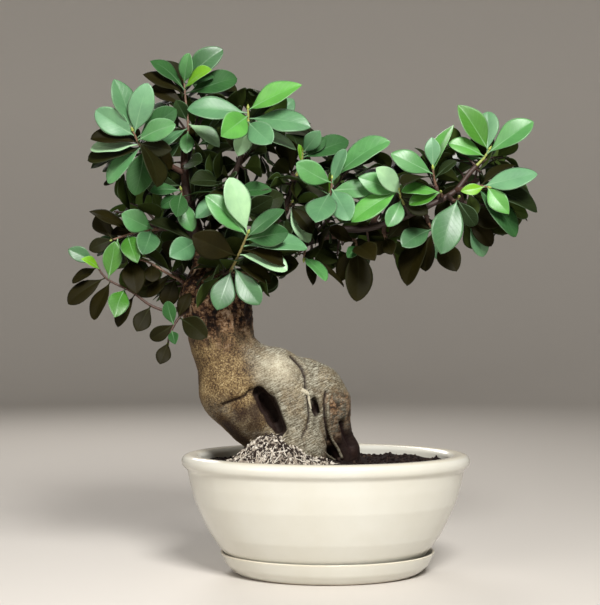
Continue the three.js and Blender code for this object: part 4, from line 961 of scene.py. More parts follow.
def bark_look():
    """Pale wrinkled grey bark on the swollen roots, speckled tan above, dark flakes on the neck."""
    look = Look("bark", 0.7, Specular_IOR_Level=0.22)
    fine, broad = look.noise(620, 4, roughness=0.7), look.noise(70, 4)
    wrinkle = look.noise(430, 4, grain=(3.2, 2.0, 0.42), roughness=0.6, lean=-0.45)
    pores = look.cells(430)
    grain = look.blend(fine, 0.7, broad, 0.3)
    tan = look.ramp(grain, [
        (0.39, (0.024, 0.011, 0.005)), (0.45, (0.082, 0.047, 0.020)), (0.52, (0.180, 0.122, 0.054)),
        (0.58, (0.29, 0.212, 0.103)), (0.66, (0.45, 0.37, 0.22))])
    clouds = look.ramp(look.noise(34, 3), [(0.34, (0.58, 0.53, 0.48)), (0.62, (1.02, 1.02, 1.00))])
    tan = look.mix(1.0, tan, clouds, "MULTIPLY")
    tan = look.mix(look.stretch(pores, 0.16, 0.30, 0.75, 0.0), tan, (0.055, 0.03, 0.015))
    lines = look.blend(wrinkle, 0.66, fine, 0.34)
    grey = look.ramp(lines, [
        (0.40, (0.045, 0.034, 0.022)), (0.46, (0.125, 0.108, 0.074)), (0.52, (0.220, 0.202, 0.148)),
        (0.58, (0.34, 0.325, 0.255)), (0.66, (0.50, 0.49, 0.41))])
    # The pale tint of whitened surface roots, which also paints the highlight on the shoulder.
    bleach_and_highlight = look.ramp(grain, [
        (0.36, (0.20, 0.15, 0.085)), (0.44, (0.42, 0.37, 0.26)), (0.60, (0.57, 0.54, 0.42))])
    small_plates = look.noise(260, 5, grain=(1, 1, 0.7), roughness=0.75)
    large_plates = look.noise(75, 3, grain=(1.3, 1, 0.6))
    flakes = look.ramp(look.blend(small_plates, 0.6, large_plates, 0.4), [
        (0.44, (0.010, 0.003, 0.001)), (0.48, (0.050, 0.019, 0.008)), (0.51, (0.15, 0.080, 0.036)),
        (0.55, (0.22, 0.130, 0.070)), (0.60, (0.34, 0.25, 0.17))])
    fissures = look.ramp(look.noise(150, 4, grain=(0.8, 0.8, 2.4), roughness=0.6), [
        (0.44, (0.16, 0.12, 0.10)), (0.49, (1.0, 1.0, 1.0))])
    flakes = look.mix(1.0, flakes, fissures, "MULTIPLY")
    colour = look.mix(look.value("pale"), tan, grey)
    colour = look.mix(look.value("tone"), colour, bleach_and_highlight)
    colour = look.mix(look.value("flaky"), colour, flakes)
    # painted shade: creases, hollow walls and the shadowed lower legs go near-black
    colour = look.mix(look.value("shade"), colour, (0.012, 0.004, 0.003))
    look.paint(colour)
    height = look.mix(look.value("pale"), fine, wrinkle)
    look.bump(height, 0.7, 0.0012)
    return look.material


def twig_look():
    """Thin bark, from grey-brown through reddish and pinkish to the green of the young stems."""
    look = Look("twig", 0.6)
    base = look.ramp(look.value("tone"), [
        (0.0, (0.020, 0.010, 0.007)), (0.3, (0.080, 0.038, 0.025)), (0.55, (0.21, 0.125, 0.080)),
        (0.75, (0.30, 0.28, 0.09)), (1.0, (0.33, 0.42, 0.09))])
    speck = look.ramp(look.noise(520, 3), [(0.35, (0.55, 0.5, 0.45)), (0.62, (1.1, 1.05, 1.0))])
    look.paint(look.mix(0.8, base, speck, "MULTIPLY"))
    look.bump(look.noise(480, 3), 0.3, 0.0005)
    return look.material


def leaf_look(name, roughness, specular, coat):
    """Leathery green by tone, from painted shade through older to younger greens with a painted sheen and
    highlight among them, with a pale midrib, faint side veins and a pale margin.
    """
    look = Look(name, roughness, Specular_IOR_Level=specular, Coat_Weight=coat, Coat_Roughness=0.36)
    tone = look.value("tone")
    # The darkest stops are painted shade and the dark greens partly so; the whitish and near-white stops are
    # a painted sheen and highlight; the rest are own greens.
    upper = look.ramp(tone, [
        (DARK, (0.0105, 0.0085, 0.001)), (SHADED, (0.012, 0.022, 0.006)), (DEEP, (0.026, 0.088, 0.024)),
        (DULL, (0.046, 0.135, 0.050)), (OLD, (0.078, 0.205, 0.090)), (SHEEN, (0.115, 0.275, 0.135)),
        (MID, (0.068, 0.225, 0.060)), (FRESH, (0.075, 0.255, 0.060)), (HIGHLIGHT, (0.30, 0.50, 0.28)),
        (HIGHLIGHT + TONE_LEVEL, (0.30, 0.50, 0.28)), (GRASS - TONE_LEVEL, (0.042, 0.165, 0.012)),
        (GRASS, (0.042, 0.165, 0.012)), (LIME, (0.080, 0.285, 0.046)), (YOUNG, (0.14, 0.35, 0.010))])
    blotch = look.ramp(look.noise(45, 3), [(0.3, (0.78, 0.80, 0.80)), (0.7, (1.18, 1.14, 1.10))])
    upper = look.mix(1.0, upper, blotch, "MULTIPLY")
    side = look.value("side")
    swept = look.maths("SUBTRACT", look.maths("MULTIPLY", look.value("along"), 9.0),
                       look.maths("MULTIPLY", side, 2.4))
    vein = look.maths("PINGPONG", swept, 0.5)
    vein = look.stretch(vein, 0.0, 0.09, 1.0, 0.0)
    midrib = look.stretch(look.value("rib"), 0.42, 0.95)
    veins = look.maths("MAXIMUM", look.maths("MULTIPLY", vein, 0.14), midrib)
    # Veins, margin and underside darken with the tone, so that leaves painted in shade stay dark.
    pale = look.mix(look.stretch(tone, DARK, OLD), (0.025, 0.027, 0.009), (0.26, 0.44, 0.25))
    colour = look.mix(look.maths("MULTIPLY", veins, 0.6), upper, pale)
    margin = look.stretch(side, 0.88, 1.0, 0.0, 0.75)
    colour = look.mix(margin, colour, pale)
    under = look.mix(tone, (0.0130, 0.0125, 0.002), (0.20, 0.40, 0.07))
    look.paint(look.mix(look.value("under"), colour, under))
    look.gloss(look.stretch(look.value("under"), 0, 1, roughness, roughness + 0.2))
    look.bump(look.maths("ADD", look.maths("MULTIPLY", vein, -0.6), look.noise(260, 3)), 0.22, 0.0005)
    return look.material


def floor_look():
    return Look("floor", 0.6, Base_Color=(0.60, 0.565, 0.52, 1)).material


# ---- Pottery ----
POT_TURNS = 160
ROUND_STEPS, ROUND_RADIUS = 5, 2.2
WOBBLE_SCALE, WOBBLE_DEPTH = 60, 0.35
# The glaze thins towards the rolled edge, and stops a little above the clay that the piece stands on.
THIN_FROM, THIN_FULL, THIN_MOST = 2.2, 0.3, 0.55
BARE_BLEND = 0.8
POT_BARE, SAUCER_BARE = 5.8, 0.6


def rounded_profile(profile):
    """The profile with each corner turned on a small arc, as (reach, inset, height)."""
    profile = [np.array(p, float) for p in profile]
    out = [profile[0]]
    for before, corner, after in zip(profile, profile[1:], profile[2:]):
        room = [np.linalg.norm(corner - before), np.linalg.norm(after - corner)]
        cut = min(ROUND_RADIUS, 0.42 * room[0], 0.42 * room[1])
        start = corner + (before - corner) * cut / room[0]
        end = corner + (after - corner) * cut / room[1]
        for t in np.linspace(0, 1, ROUND_STEPS):
            out.append((1 - t) ** 2 * start + 2 * t * (1 - t) * corner + t ** 2 * end)
    return np.array(out + [profile[-1]])


def lathe(profile, shift, wobble):
    """An oval turned body, closed at the axis below and above."""
    turn = angles_of(POT_TURNS)
    rings = profile[1:-1]
    reach, inset, height = rings[:, 0, None], rings[:, 1, None], rings[:, 2, None]
    x = (reach - inset) * np.cos(turn)
    y = (OVAL * reach - inset) * np.sin(turn)
    points = np.stack([x, y, np.broadcast_to(height, x.shape)], axis=-1).reshape(-1, 3)
    out = points * [1, 1, 0] / np.maximum(1, np.linalg.norm(points[:, :2], axis=1))[:, None]
    points = points + out * wobble.at(points, WOBBLE_SCALE)[:, None] * WOBBLE_DEPTH + [shift, 0, 0]
    ends = np.array([[shift, 0, profile[0][2]], [shift, 0, profile[-1][2]]])
    return np.concatenate([points, ends]), ring_faces(len(rings), POT_TURNS)


def make_pottery(glaze):
    """The bowl and its drip saucer, with bare clay where each stands."""
    wobble = Noise(3)
    wares = (("pot", POT_PROFILE, POT_SHIFT, POT_BARE), ("saucer", SAUCER_PROFILE, 0, SAUCER_BARE))
    for name, profile, shift, foot in wares:
        points, faces = lathe(rounded_profile(profile), shift, wobble)
        height = points[:, 2]
        edge = height.max()
        thin = THIN_MOST * smooth_step(edge - THIN_FROM, edge - THIN_FULL, height)
        bare = 1 - smooth_step(foot, foot + BARE_BLEND, height)
        bundle = Bundle(("thin", "bare"))
        bundle.add(points, faces, thin=thin, bare=bare)
        finish_piece(bundle.make(name + "_glazed", [glaze]), "glaze", name)


def finish_piece(piece, slot, *nodes):
    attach(piece, "root")
    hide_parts(*nodes)


# ---- Soil ----
BROAD_WAVE, NARROW_WAVE = 1.4, 0.9
SOIL_LUMP, SOIL_LUMP_SIZE = 1.1, 7
SOIL_TONE, CRUMB_RAISED = 0.3, 0.2


def soil_height(x, y, noise):
    waves = BROAD_WAVE * np.sin(x / 13 + 1.1) * np.cos(y / 11) + NARROW_WAVE * np.sin(x / 6.5 - y / 8.5)
    points = np.stack([x, y, np.zeros_like(x)], axis=-1)
    return SOIL_TOP + waves + SOIL_LUMP * noise.rough(points, SOIL_LUMP_SIZE)


def crumb_shape():
    """An octahedron with its edges halved and pushed out to a ball."""
    corners = np.array([(1, 0, 0), (0, 1, 0), (-1, 0, 0), (0, -1, 0), (0, 0, 1), (0, 0, -1)], float)
    points, faces = list(corners), []
    halves = {}

    def half(a, b):
        key = (min(a, b), max(a, b))
        if key not in halves:
            halves[key] = len(points)
            points.append(unit(points[a] + points[b]))
        return halves[key]

    for n in range(4):
        a, b = n, (n + 1) % 4
        for p, q, r in ((a, b, 4), (b, a, 5)):
            x, y, z = half(p, q), half(q, r), half(r, p)
            faces += [(p, x, z), (q, y, x), (r, z, y), (x, y, z)]
    return np.array(points), np.array(faces)


def add_crumbs(bundle, places, sizes, tones, random):
    """Small lumps, each bent and turned its own way."""
    shape, faces = crumb_shape()
    for where, size, tone in zip(places, sizes, tones):
        bent = shape * (0.75 + 0.5 * random.rand(len(shape), 1)) * size * (0.7 + 0.6 * random.rand(3))
        turn = random.rand() * 2 * math.pi
        c, s = math.cos(turn), math.sin(turn)
        bent = bent @ np.array([[c, s, 0], [-s, c, 0], [0, 0, 1]])
        bundle.add(bent + where, [faces], tone=tone)


SOIL_REACH, SOIL_INSET = 137.4, 13.6
SOIL_RINGS, SOIL_TURNS = 46, 150
SOIL_SKIRT, SOIL_TAPER = (100, 80), 0.99
CRUMBS, CRUMB_SPREAD = 1700, 0.985


def soil_spot(share, turn):
    across, deep = SOIL_REACH - SOIL_INSET, OVAL * SOIL_REACH - SOIL_INSET
    return across * share * np.cos(turn), deep * share * np.sin(turn)


def make_soil(look):
    noise, random = Noise(11), np.random.RandomState(5)
    bundle = Bundle(("tone",))
    share = np.sqrt(np.linspace(0, 1, SOIL_RINGS + 1)[1:])[:, None]
    x, y = soil_spot(share, angles_of(SOIL_TURNS))
    top = np.stack([x + POT_SHIFT, y, soil_height(x, y, noise)], axis=-1).reshape(-1, 3)
    skirt = [top[-SOIL_TURNS:] * [SOIL_TAPER, SOIL_TAPER, 0] + [0, 0, height] for height in SOIL_SKIRT]
    ends = np.array([[POT_SHIFT, 0, SOIL_TOP + 1.2], [POT_SHIFT, 0, SOIL_SKIRT[-1]]])
    faces = ring_faces(SOIL_RINGS + len(skirt), SOIL_TURNS, turned_over=True)
    bundle.add(np.concatenate([top] + skirt + [ends]), faces, tone=SOIL_TONE)
    reach = np.sqrt(random.rand(CRUMBS)) * CRUMB_SPREAD
    x, y = soil_spot(reach, random.rand(CRUMBS) * 2 * math.pi)
    sizes = 0.7 + 1.7 * random.rand(CRUMBS) ** 3
    places = np.stack([x + POT_SHIFT, y, soil_height(x, y, noise) + CRUMB_RAISED * sizes], axis=-1)
    add_crumbs(bundle, places, sizes, 0.1 + 0.9 * random.rand(CRUMBS) ** 2, random)
    finish_piece(bundle.make("soil_crumbs", [look]), "soil", "soil")


# ---- Mound of fine roots and grit under the trunk ----
MAT_MIDDLE = place(274, 470, -32)
MAT_LEFT, MAT_RIGHT, MAT_DEPTH, MAT_HEIGHT = 50.0, 62.0, 40.0, 28.0
MAT_BASE = SOIL_TOP + 2.95
MAT_FOOT = MAT_BASE - 5
MAT_RINGS, MAT_TURNS, MAT_SPREAD = 34, 110, 0.985
MAT_LUMP, MAT_LUMP_SIZE, MAT_WAVE, MAT_SLOPE = 1.5, 6, 1.6, 1.6
THREADS, THREAD_POINTS, THREAD_START, THREAD_EDGE = 340, 9, 0.85, 1.04
THREAD_THIN, THREAD_STRIDE = 0.25, 1.2
THREAD_AIM, THREAD_BEND = 0.9, 0.35
GRIT, GRIT_SPREAD, GRIT_RAISED = 1900, 0.97, 0.35
LIGHT_GRIT, EARTH_TONE = 0.5, -0.1


def mat_reach(across):
    return np.where(across < 0, MAT_LEFT, MAT_RIGHT)


def mat_height(x, y, noise):
    along, deep = (x - MAT_MIDDLE[0]) / mat_reach(x - MAT_MIDDLE[0]), (y - MAT_MIDDLE[1]) / MAT_DEPTH
    share, turn = np.hypot(along, deep), np.arctan2(deep, along)
    rise = np.cos(math.pi / 2 * np.minimum(1, share)) ** MAT_SLOPE
    waves = MAT_WAVE * np.sin(9 * turn + 5 * share) * np.sin(math.pi * np.minimum(1, share))
    lumps = MAT_LUMP * noise.rough(np.stack([x, y, np.zeros_like(x)], axis=-1), MAT_LUMP_SIZE)
    return MAT_BASE + MAT_HEIGHT * rise + waves + lumps * np.minimum(1, 4 * (1 - share))


def make_root_mat(look):
    noise, random = Noise(21), np.random.RandomState(8)
    bundle = Bundle(("tone",))
    share = (np.arange(1, MAT_RINGS + 1) / MAT_RINGS)[:, None]
    turn = angles_of(MAT_TURNS)
    x = MAT_MIDDLE[0] + mat_reach(np.cos(turn)) * MAT_SPREAD * share * np.cos(turn)
    y = MAT_MIDDLE[1] + MAT_DEPTH * MAT_SPREAD * share * np.sin(turn)
    top = np.stack([x, y, mat_height(x, y, noise)], axis=-1).reshape(-1, 3)
    foot = top[-MAT_TURNS:] * [1, 1, 0] + [0, 0, MAT_FOOT]
    ends = np.array([[*MAT_MIDDLE[:2], height] for height in (MAT_BASE + MAT_HEIGHT, MAT_FOOT)])
    faces = ring_faces(MAT_RINGS + 1, MAT_TURNS, turned_over=True)
    bundle.add(np.concatenate([top, foot, ends]), faces, tone=EARTH_TONE)
    for _ in range(THREADS):
        add_thread(bundle, noise, random)
    reach, angle = np.sqrt(random.rand(GRIT)) * GRIT_SPREAD, random.rand(GRIT) * 2 * math.pi
    x = MAT_MIDDLE[0] + mat_reach(np.cos(angle)) * reach * np.cos(angle)
    y = MAT_MIDDLE[1] + MAT_DEPTH * reach * np.sin(angle)
    sizes = 0.45 + 1.35 * random.rand(GRIT) ** 2
    places = np.stack([x, y, mat_height(x, y, noise) + GRIT_RAISED * sizes], axis=-1)
    light = random.rand(GRIT) < LIGHT_GRIT
    tones = np.where(light, 0.45 + 0.4 * random.rand(GRIT), EARTH_TONE)
    add_crumbs(bundle, places, sizes, tones, random)
    finish_piece(bundle.make("root_mat_threads", [look]), "root_fibre", "root_mat")


def add_thread(bundle, noise, random):
    """A fine root that creeps over the mound, mostly downhill, in and out of the grit."""
    reach, angle = THREAD_START * math.sqrt(random.rand()), random.rand() * 2 * math.pi
    heading = angle + random.normal(0, THREAD_AIM)
    spot = reach * np.array([mat_reach(math.cos(angle)) * math.cos(angle), MAT_DEPTH * math.sin(angle)])
    stride = THREAD_STRIDE * (1 + 2 * random.rand())
    thick = THREAD_THIN * (1 + 2 * random.rand() ** 2)
    line = []
    for n in range(THREAD_POINTS):
        x, y = MAT_MIDDLE[0] + spot[0], MAT_MIDDLE[1] + spot[1]
        arched = math.sin(math.pi * n / (THREAD_POINTS - 1))
        lift = thick * (0.6 + 0.9 * arched + random.normal(0, 0.25))
        if math.hypot(spot[0] / mat_reach(spot[0]), spot[1] / MAT_DEPTH) > THREAD_EDGE:
            break
        line.append([x, y, float(mat_height(np.array(x), np.array(y), noise)) + lift])
        heading += random.normal(0, THREAD_BEND)
        spot = spot + stride * np.array([math.cos(heading), math.sin(heading)])
    if len(line) > 3:
        radii = thick * np.sin(np.linspace(0.35, math.pi - 0.2, len(line))) ** 0.5
        bundle.add(*tube(line, radii, 5), tone=0.3 + 0.6 * random.rand())


# ---- Trunk ----
TRUNK_LOW, TRUNK_HIGH = (-166, -82, 84), (52, 90, 322)
FINE_CELL, QUICK_CELL = 1.7, 3.2
SLOPE_REACH = 0.8
LIMB_STEP, ROOT_STEP = 2.5, 1.6
THICK_LIMB, THICK_SIDES, THIN_SIDES = 6, 16, 10

# The first stretches of the leader and the long branch flow out of the neck.
NECK_LOBES = [
    ((208, 282, 0, 10), (198, 245, -2, 8.3)),
    ((236, 289, 0, 9.5), (270, 262, 0, 6.4)),
    ((222, 284, -10, 6), (226, 278, -28, 3.6)),
]
NECK_BLEND = 12.0

# Creases and ridges on the side that faces the viewer: places along each, width, depth.
CREASES = [
    ([(258, 389), (251, 390), (243, 397), (233, 401), (222, 405)], 1.7, 3.6),
    ([(291, 355), (296, 361), (302, 368), (305, 377), (306, 388)], 1.5, 2.2),
    ([(305, 388), (309, 402), (310, 418), (307, 428), (301, 438)], 1.4, 2.0),
    ([(314, 399), (316, 405), (317, 412)], 1.8, 6.5),
    ([(326, 392), (324, 404), (325, 420), (328, 440)], 1.6, 2.4),
    ([(343, 424), (346, 434), (352, 446)], 3.6, 5.0),
    ([(249, 301), (246, 312), (251, 325)], 2.2, 2.0),
    ([(199, 300), (205, 312), (203, 330), (208, 345)], 2.0, 1.4),
    ([(268, 446), (276, 440), (284, 436)], 2.4, 3.0),
]
RIDGES = [
    ([(297, 357), (304, 366), (309, 376), (311, 386), (312, 396)], 3.0, 2.0),
    ([(266, 414), (270, 424), (273, 436)], 3.4, 2.2),
    ([(307, 392), (311, 394), (317, 397)], 2.4, 2.6),
    ([(321, 398), (321, 414), (323, 430), (325, 446)], 3.2, 2.4),
]


def near_line(across, down, line):
    """Distance on the picture plane from points to a broken line."""
    nearest = np.full(across.shape, FAR)
    for (a0, d0), (a1, d1) in zip(line, line[1:]):
        share = ((across - a0) * (a1 - a0) + (down - d0) * (d1 - d0)) / ((a1 - a0) ** 2 + (d1 - d0) ** 2)
        share = np.clip(share, 0, 1)
        apart = np.hypot(across - a0 - share * (a1 - a0), down - d0 - share * (d1 - d0))
        nearest = np.minimum(nearest, apart)
    return nearest


def wood_field(points):
    """The trunk's field with the neck's swellings."""
    wood = trunk_field(points)
    for lobe in NECK_LOBES:
        wood = blend_nearer(wood, lobe_distance(points, lobe), NECK_BLEND)
    return wood


def field_normals(points):
    steps = np.eye(3) * SLOPE_REACH
    slope = np.stack([wood_field(points + step) - wood_field(points - step) for step in steps], axis=1)
    return slope / np.maximum(1e-9, np.linalg.norm(slope, axis=1))[:, None]


def skin(field, low, high, cell):
    """Points and quads of the skin where a field is zero: one point in each cell that it crosses."""
    axes = [np.arange(low[k], high[k] + cell, cell) for k in range(3)]
    values = np.stack([field(np.stack(np.meshgrid(x, axes[1], axes[2], indexing="ij"), axis=-1))[0]
                       for x in axes[0][:, None]])
    shape = np.array(values.shape)
    sums, counts = np.zeros((*(shape - 1), 3)), np.zeros(shape - 1)
    crossings = []
    for axis in range(3):
        first = np.take(values, np.arange(shape[axis] - 1), axis)
        second = np.take(values, np.arange(1, shape[axis]), axis)
        crosses = (first < 0) != (second < 0)
        share = np.where(crosses, first / np.where(crosses, first - second, 1), 0)
        crossings.append((crosses, first < 0))
        others = [k for k in range(3) if k != axis]
        for p in (0, 1):
            for q in (0, 1):
                part = [slice(None)] * 3
                part[others[0]] = slice(p, shape[others[0]] - 1 + p)
                part[others[1]] = slice(q, shape[others[1]] - 1 + q)
                part = tuple(part)
                counts += crosses[part]
                sums[..., axis] += share[part]
                sums[..., others[0]] += p * crosses[part]
                sums[..., others[1]] += q * crosses[part]
    used = counts > 0
    number = np.full(counts.shape, -1)
    number[used] = np.arange(used.sum())
    cells = np.argwhere(used)
    points = np.array(low) + (cells + sums[used] / counts[used][:, None]) * cell
    quads = []
    for axis, (crosses, inside) in enumerate(crossings):
        u, v = (axis + 1) % 3, (axis + 2) % 3
        spots = np.argwhere(crosses)
        spots = spots[(spots[:, u] > 0) & (spots[:, v] > 0)
                      & (spots[:, u] < shape[u] - 1) & (spots[:, v] < shape[v] - 1)]
        ring = []
        for p, q in ((1, 1), (0, 1), (0, 0), (1, 0)):
            at = spots.copy()
            at[:, u] -= p
            at[:, v] -= q
            ring.append(number[tuple(at.T)])
        ring = np.stack(ring, axis=1)
        flip = ~inside[tuple(spots.T)]
        ring[flip] = ring[flip][:, ::-1]
        quads.append(ring)
    return points, np.concatenate(quads)


# Where the parts of the bark begin and end, across or down in the photo.
NECK_END, SWOLLEN_FROM, SWOLLEN_TO = (318, 356), (352, 378), (432, 444)
STEP_FROM, STEP_TO = (212, 226), (252, 262)
RIGHT_LOBE, RIGHT_LOBE_TOP = (318, 330), (384, 400)
RUNNERS, RUNNER_TOP = 9, (384, 420)
# A painted highlight on the middle leg's shoulder: its place and size.
HIGHLIGHT_AT, HIGHLIGHT_SIZE = (278, 368), 19
RINGS_FROM, PALE_FROM, PALE_BASE = (262, 284), (246, 278), (380, 440)
# Painted shade: where the lower left leg and the lower right lobe go dark, then how deep in the hollows
# their walls turn near-black and how dark.
LOW_LEFT_FROM, LOW_LEFT_TO, LOW_RIGHT_FROM = (404, 416), (256, 268), (418, 440)
HOLLOW_SHADE_DEPTHS, SHADOW_STRENGTH, NECK_TAN = (0.8, 3.5), 0.96, 0.85
# Relief in millimetres: how high each kind of bump is, and how far apart.
LUMP, LUMP_SIZE, PIMPLE, PIMPLE_SIZE = 1.5, 26, 0.35, 6
FLAKE, FLAKE_SIZE, LEDGE, LEDGE_SIZE, SCALE, SCALE_SIZE = 2.4, 8, 2.2, 15, 0.8, 3.2
RING, STEP, STEP_FADE, RUNNER, RUNNER_WIDTH = 0.16, 3.2, 16, 1.6, 2.2
# A crease this deep or deeper takes full painted shade.
DEEP_CREASE = 2.4


def band(values, start, end):
    return smooth_step(*start, values) * (1 - smooth_step(*end, values))


def bump_along(across, down, line, width):
    return np.exp(-(near_line(across, down, line) / width) ** 2)


def trunk_relief(points, normals, neck, front, noise):
    """How far each point of the skin is moved out, and how much painted shade it takes from lying in a
    crease.
    """
    across, down = seen(points)
    flakes = Noise(37)
    move = LUMP * noise.rough(points, LUMP_SIZE) * (1 - 0.4 * neck)
    move += PIMPLE * noise.rough(points, PIMPLE_SIZE)
    ragged = 1 - np.abs(flakes.rough(points, FLAKE_SIZE, 4))
    ledges = 1 - np.abs(flakes.rough(points * [0.6, 0.6, 1], LEDGE_SIZE, 2))
    scales = SCALE * flakes.at(points, SCALE_SIZE)
    move += neck * (FLAKE * (ragged - 0.75) + LEDGE * (ledges - 0.7) + scales)
    # faint rings round the swollen roots
    ring = np.sin(down * 1.35 + 2.2 * noise.at(points, 20) + 0.25 * across)
    right = smooth_step(*RINGS_FROM, across + 0.25 * (down - 400))
    move += RING * ring * band(down, SWOLLEN_FROM, SWOLLEN_TO) * (0.3 + 0.7 * right)
    crease_shade = np.zeros(len(points))
    # each crease is cut in and painted dark as well: painted shade, fuller in deeper creases
    for line, width, depth in CREASES:
        near = bump_along(across, down, line, width) * front
        move -= depth * near
        crease_shade = np.maximum(crease_shade, smooth_step(0.25, 0.85, near) * min(1, depth / DEEP_CREASE))
    for line, width, height in RIDGES:
        move += height * bump_along(across, down, line, width) * front
    # the lower left leg lies a step behind the swelling above the first crease
    edge = CREASES[0][0][::-1]
    under = down - np.interp(across, [a for a, _ in edge], [d for _, d in edge])
    behind_step = smooth_step(0, 2, under) * np.exp(-np.maximum(0, under) / STEP_FADE)
    move -= STEP * behind_step * band(across, STEP_FROM, STEP_TO) * front
    # runners of root wander down the rear of the legs
    for start in range(RUNNERS):
        turn = start * 0.7
        spine = 258 + 44 * math.sin(turn * 2.1) + 3 * np.sin(down / 9 + turn)
        rear = np.exp(-((across - spine) / RUNNER_WIDTH) ** 2) * smooth_step(0.1, 0.6, normals[:, 1])
        move += RUNNER * rear * smooth_step(*RUNNER_TOP, down)
    return move, crease_shade


def trunk_detail(points, normals):
    """How far each point of the skin is moved out, where the bark is pale or flaky, where painted shade
    darkens it and where a painted highlight lightens it.
    """
    across, down = seen(points)
    noise = Noise(31)
    front = smooth_step(0.0, 0.45, -normals[:, 1])
    neck = 1 - smooth_step(*NECK_END, down + 9 * noise.at(points, 16))
    move, shade = trunk_relief(points, normals, neck, front, noise)
    patch = smooth_step(-0.35, 0.45, noise.at(points, 17) + 0.5 * noise.at(points, 7))
    right = smooth_step(*PALE_FROM, across - 0.35 * (down - 385))
    pale = np.clip(right * 1.1 * (0.55 + 0.45 * patch), 0, 1)
    pale = np.maximum(pale, 0.5 * patch * smooth_step(*PALE_BASE, down)) * (1 - NECK_TAN * neck)
    lobe = smooth_step(*RIGHT_LOBE, across) * smooth_step(*RIGHT_LOBE_TOP, down)
    flaky = np.clip(neck + 0.9 * lobe * (1 - 0.4 * patch), 0, 1)
    # painted shade on the lower left leg under the swelling, on the lower right lobe and on the hollow walls
    low_left_shade = smooth_step(*LOW_LEFT_FROM, down + 0.6 * (across - 240))
    low_left_shade = low_left_shade * (1 - smooth_step(*LOW_LEFT_TO, across))
    low_right_shade = smooth_step(*LOW_RIGHT_FROM, down + 0.8 * (across - 345)) * lobe
    hollow_shade = smooth_step(*HOLLOW_SHADE_DEPTHS, -blended(points, LOBES))
    for dark in ((0.8 - 0.35 * patch) * low_left_shade * front, SHADOW_STRENGTH * low_right_shade, SHADOW_STRENGTH * hollow_shade):
        shade = np.maximum(shade, dark)
    # a painted highlight on the shoulder, where it faces the viewer
    spot = np.hypot(across - HIGHLIGHT_AT[0], 1.3 * (down - HIGHLIGHT_AT[1])) / HIGHLIGHT_SIZE
    bleach_and_highlight = np.exp(-spot ** 2) * (0.6 + 0.4 * patch) * front
    return move, {"pale": pale, "flaky": flaky, "shade": shade, "tone": bleach_and_highlight}


SIGHT_DEPTHS, ON_SKIN = np.arange(-90, 40, 0.5), 0.05
ROOT_SUNK, ROOT_SIDES, ROOT_PALE, ROOT_FLAKY = 0.4, 8, 0.8, 0.1


def on_trunk(across, down):
    """The place where a line of sight first meets the wood or comes nearest to it, sunk a little."""
    gaps = wood_field(np.array([place(across, down, depth) for depth in SIGHT_DEPTHS]))
    met = np.flatnonzero(gaps < ON_SKIN)
    return place(across, down, SIGHT_DEPTHS[met[0] if len(met) else np.argmin(gaps)] + ROOT_SUNK)


# Thin roots that lie on the wood: places along each, radius at the start and the end, how bleached.
SURFACE_ROOTS = [
    ([(330, 393), (328, 404), (328, 416), (329, 430), (333, 441), (338, 449), (342, 458)], 1.3, 1.7, 0.0),
    ([(301, 390), (307, 393), (313, 394), (319, 398)], 2.7, 2.1, 1.0),
    ([(309, 394), (309, 401), (311, 409)], 1.6, 0.8, 0.9),
    ([(319, 398), (321, 405), (322, 415)], 2.0, 1.2, 1.0),
    ([(290, 428), (286, 433), (281, 440), (277, 446)], 1.2, 0.7, 0.3),
    ([(296, 430), (290, 434), (284, 437), (279, 444), (272, 449)], 1.0, 0.6, 0.3),
    ([(284, 441), (291, 446), (297, 452), (300, 460)], 1.6, 1.1, 0.0),
    ([(316, 440), (321, 448), (327, 455), (336, 461)], 1.8, 1.2, 0.1),
    ([(304, 438), (305, 446), (310, 454), (312, 463)], 2.0, 1.4, 0.0),
    ([(250, 440), (257, 444), (262, 452), (261, 460)], 1.6, 1.0, 0.0),
]


KNOT, KNOT_SIZE, GNARL, GNARL_SIZE = 0.10, 9, 0.06, 3.5
WANDER, WANDER_SIZE, LIMB_FADE = 0.25, 15, 0.12


def limb_tone(number):
    """The leader is grey-brown, the long branch darker, and the thin limbs a little redder by turns."""
    return (0.1, 0.0)[number] if number < 2 else (0.0, 0.1, 0.0, 0.2)[number % 4]


def add_limb(bundle, number, radii, places, noise):
    """A limb with knots, which wanders a little between its places."""
    path = smooth_path([place(*spot) for spot in places], LIMB_STEP)
    share = np.linspace(0, 1, len(path))
    radius = radii[0] + (radii[1] - radii[0]) * share
    knots = 1 + KNOT * noise.at(path + 50 * number, KNOT_SIZE) + GNARL * noise.at(path, GNARL_SIZE)
    wander = np.stack([noise.at(path + k * 70, WANDER_SIZE) for k in range(3)], axis=1)
    path = path + WANDER * radius[:, None] * wander * np.sin(math.pi * share)[:, None]
    sides = THICK_SIDES if radii[0] > THICK_LIMB else THIN_SIDES
    tone = limb_tone(number) + LIMB_FADE * share
    points, faces = tube(path, radius * knots, sides)
    tones = np.concatenate([np.repeat(tone, sides), tone[:1], tone[-1:]])
    bundle.add(points, faces, TWIG_SLOT, tone=tones)


def make_trunk(bark, twig):
    bundle = Bundle(("pale", "flaky", "shade", "tone"))
    points, quads = skin(wood_field, TRUNK_LOW, TRUNK_HIGH, FINE_CELL)
    for _ in range(2):
        points = points - field_normals(points) * wood_field(points)[:, None]
    normals = field_normals(points)
    move, tints = trunk_detail(points, normals)
    bundle.add(points + normals * move[:, None], [quads], **tints)
    for line, start, end, bleach in SURFACE_ROOTS:
        path = smooth_path([on_trunk(*spot) for spot in line], ROOT_STEP)
        points, faces = tube(path, np.linspace(start, end, len(path)), ROOT_SIDES)
        bundle.add(points, faces, pale=ROOT_PALE, flaky=ROOT_FLAKY, tone=bleach)
    noise = Noise(41)
    for number, (radii, places) in enumerate(LIMBS):
        add_limb(bundle, number, radii, places, noise)
    finish_piece(bundle.make("trunk_wood", [bark, twig]), "bark", "trunk")


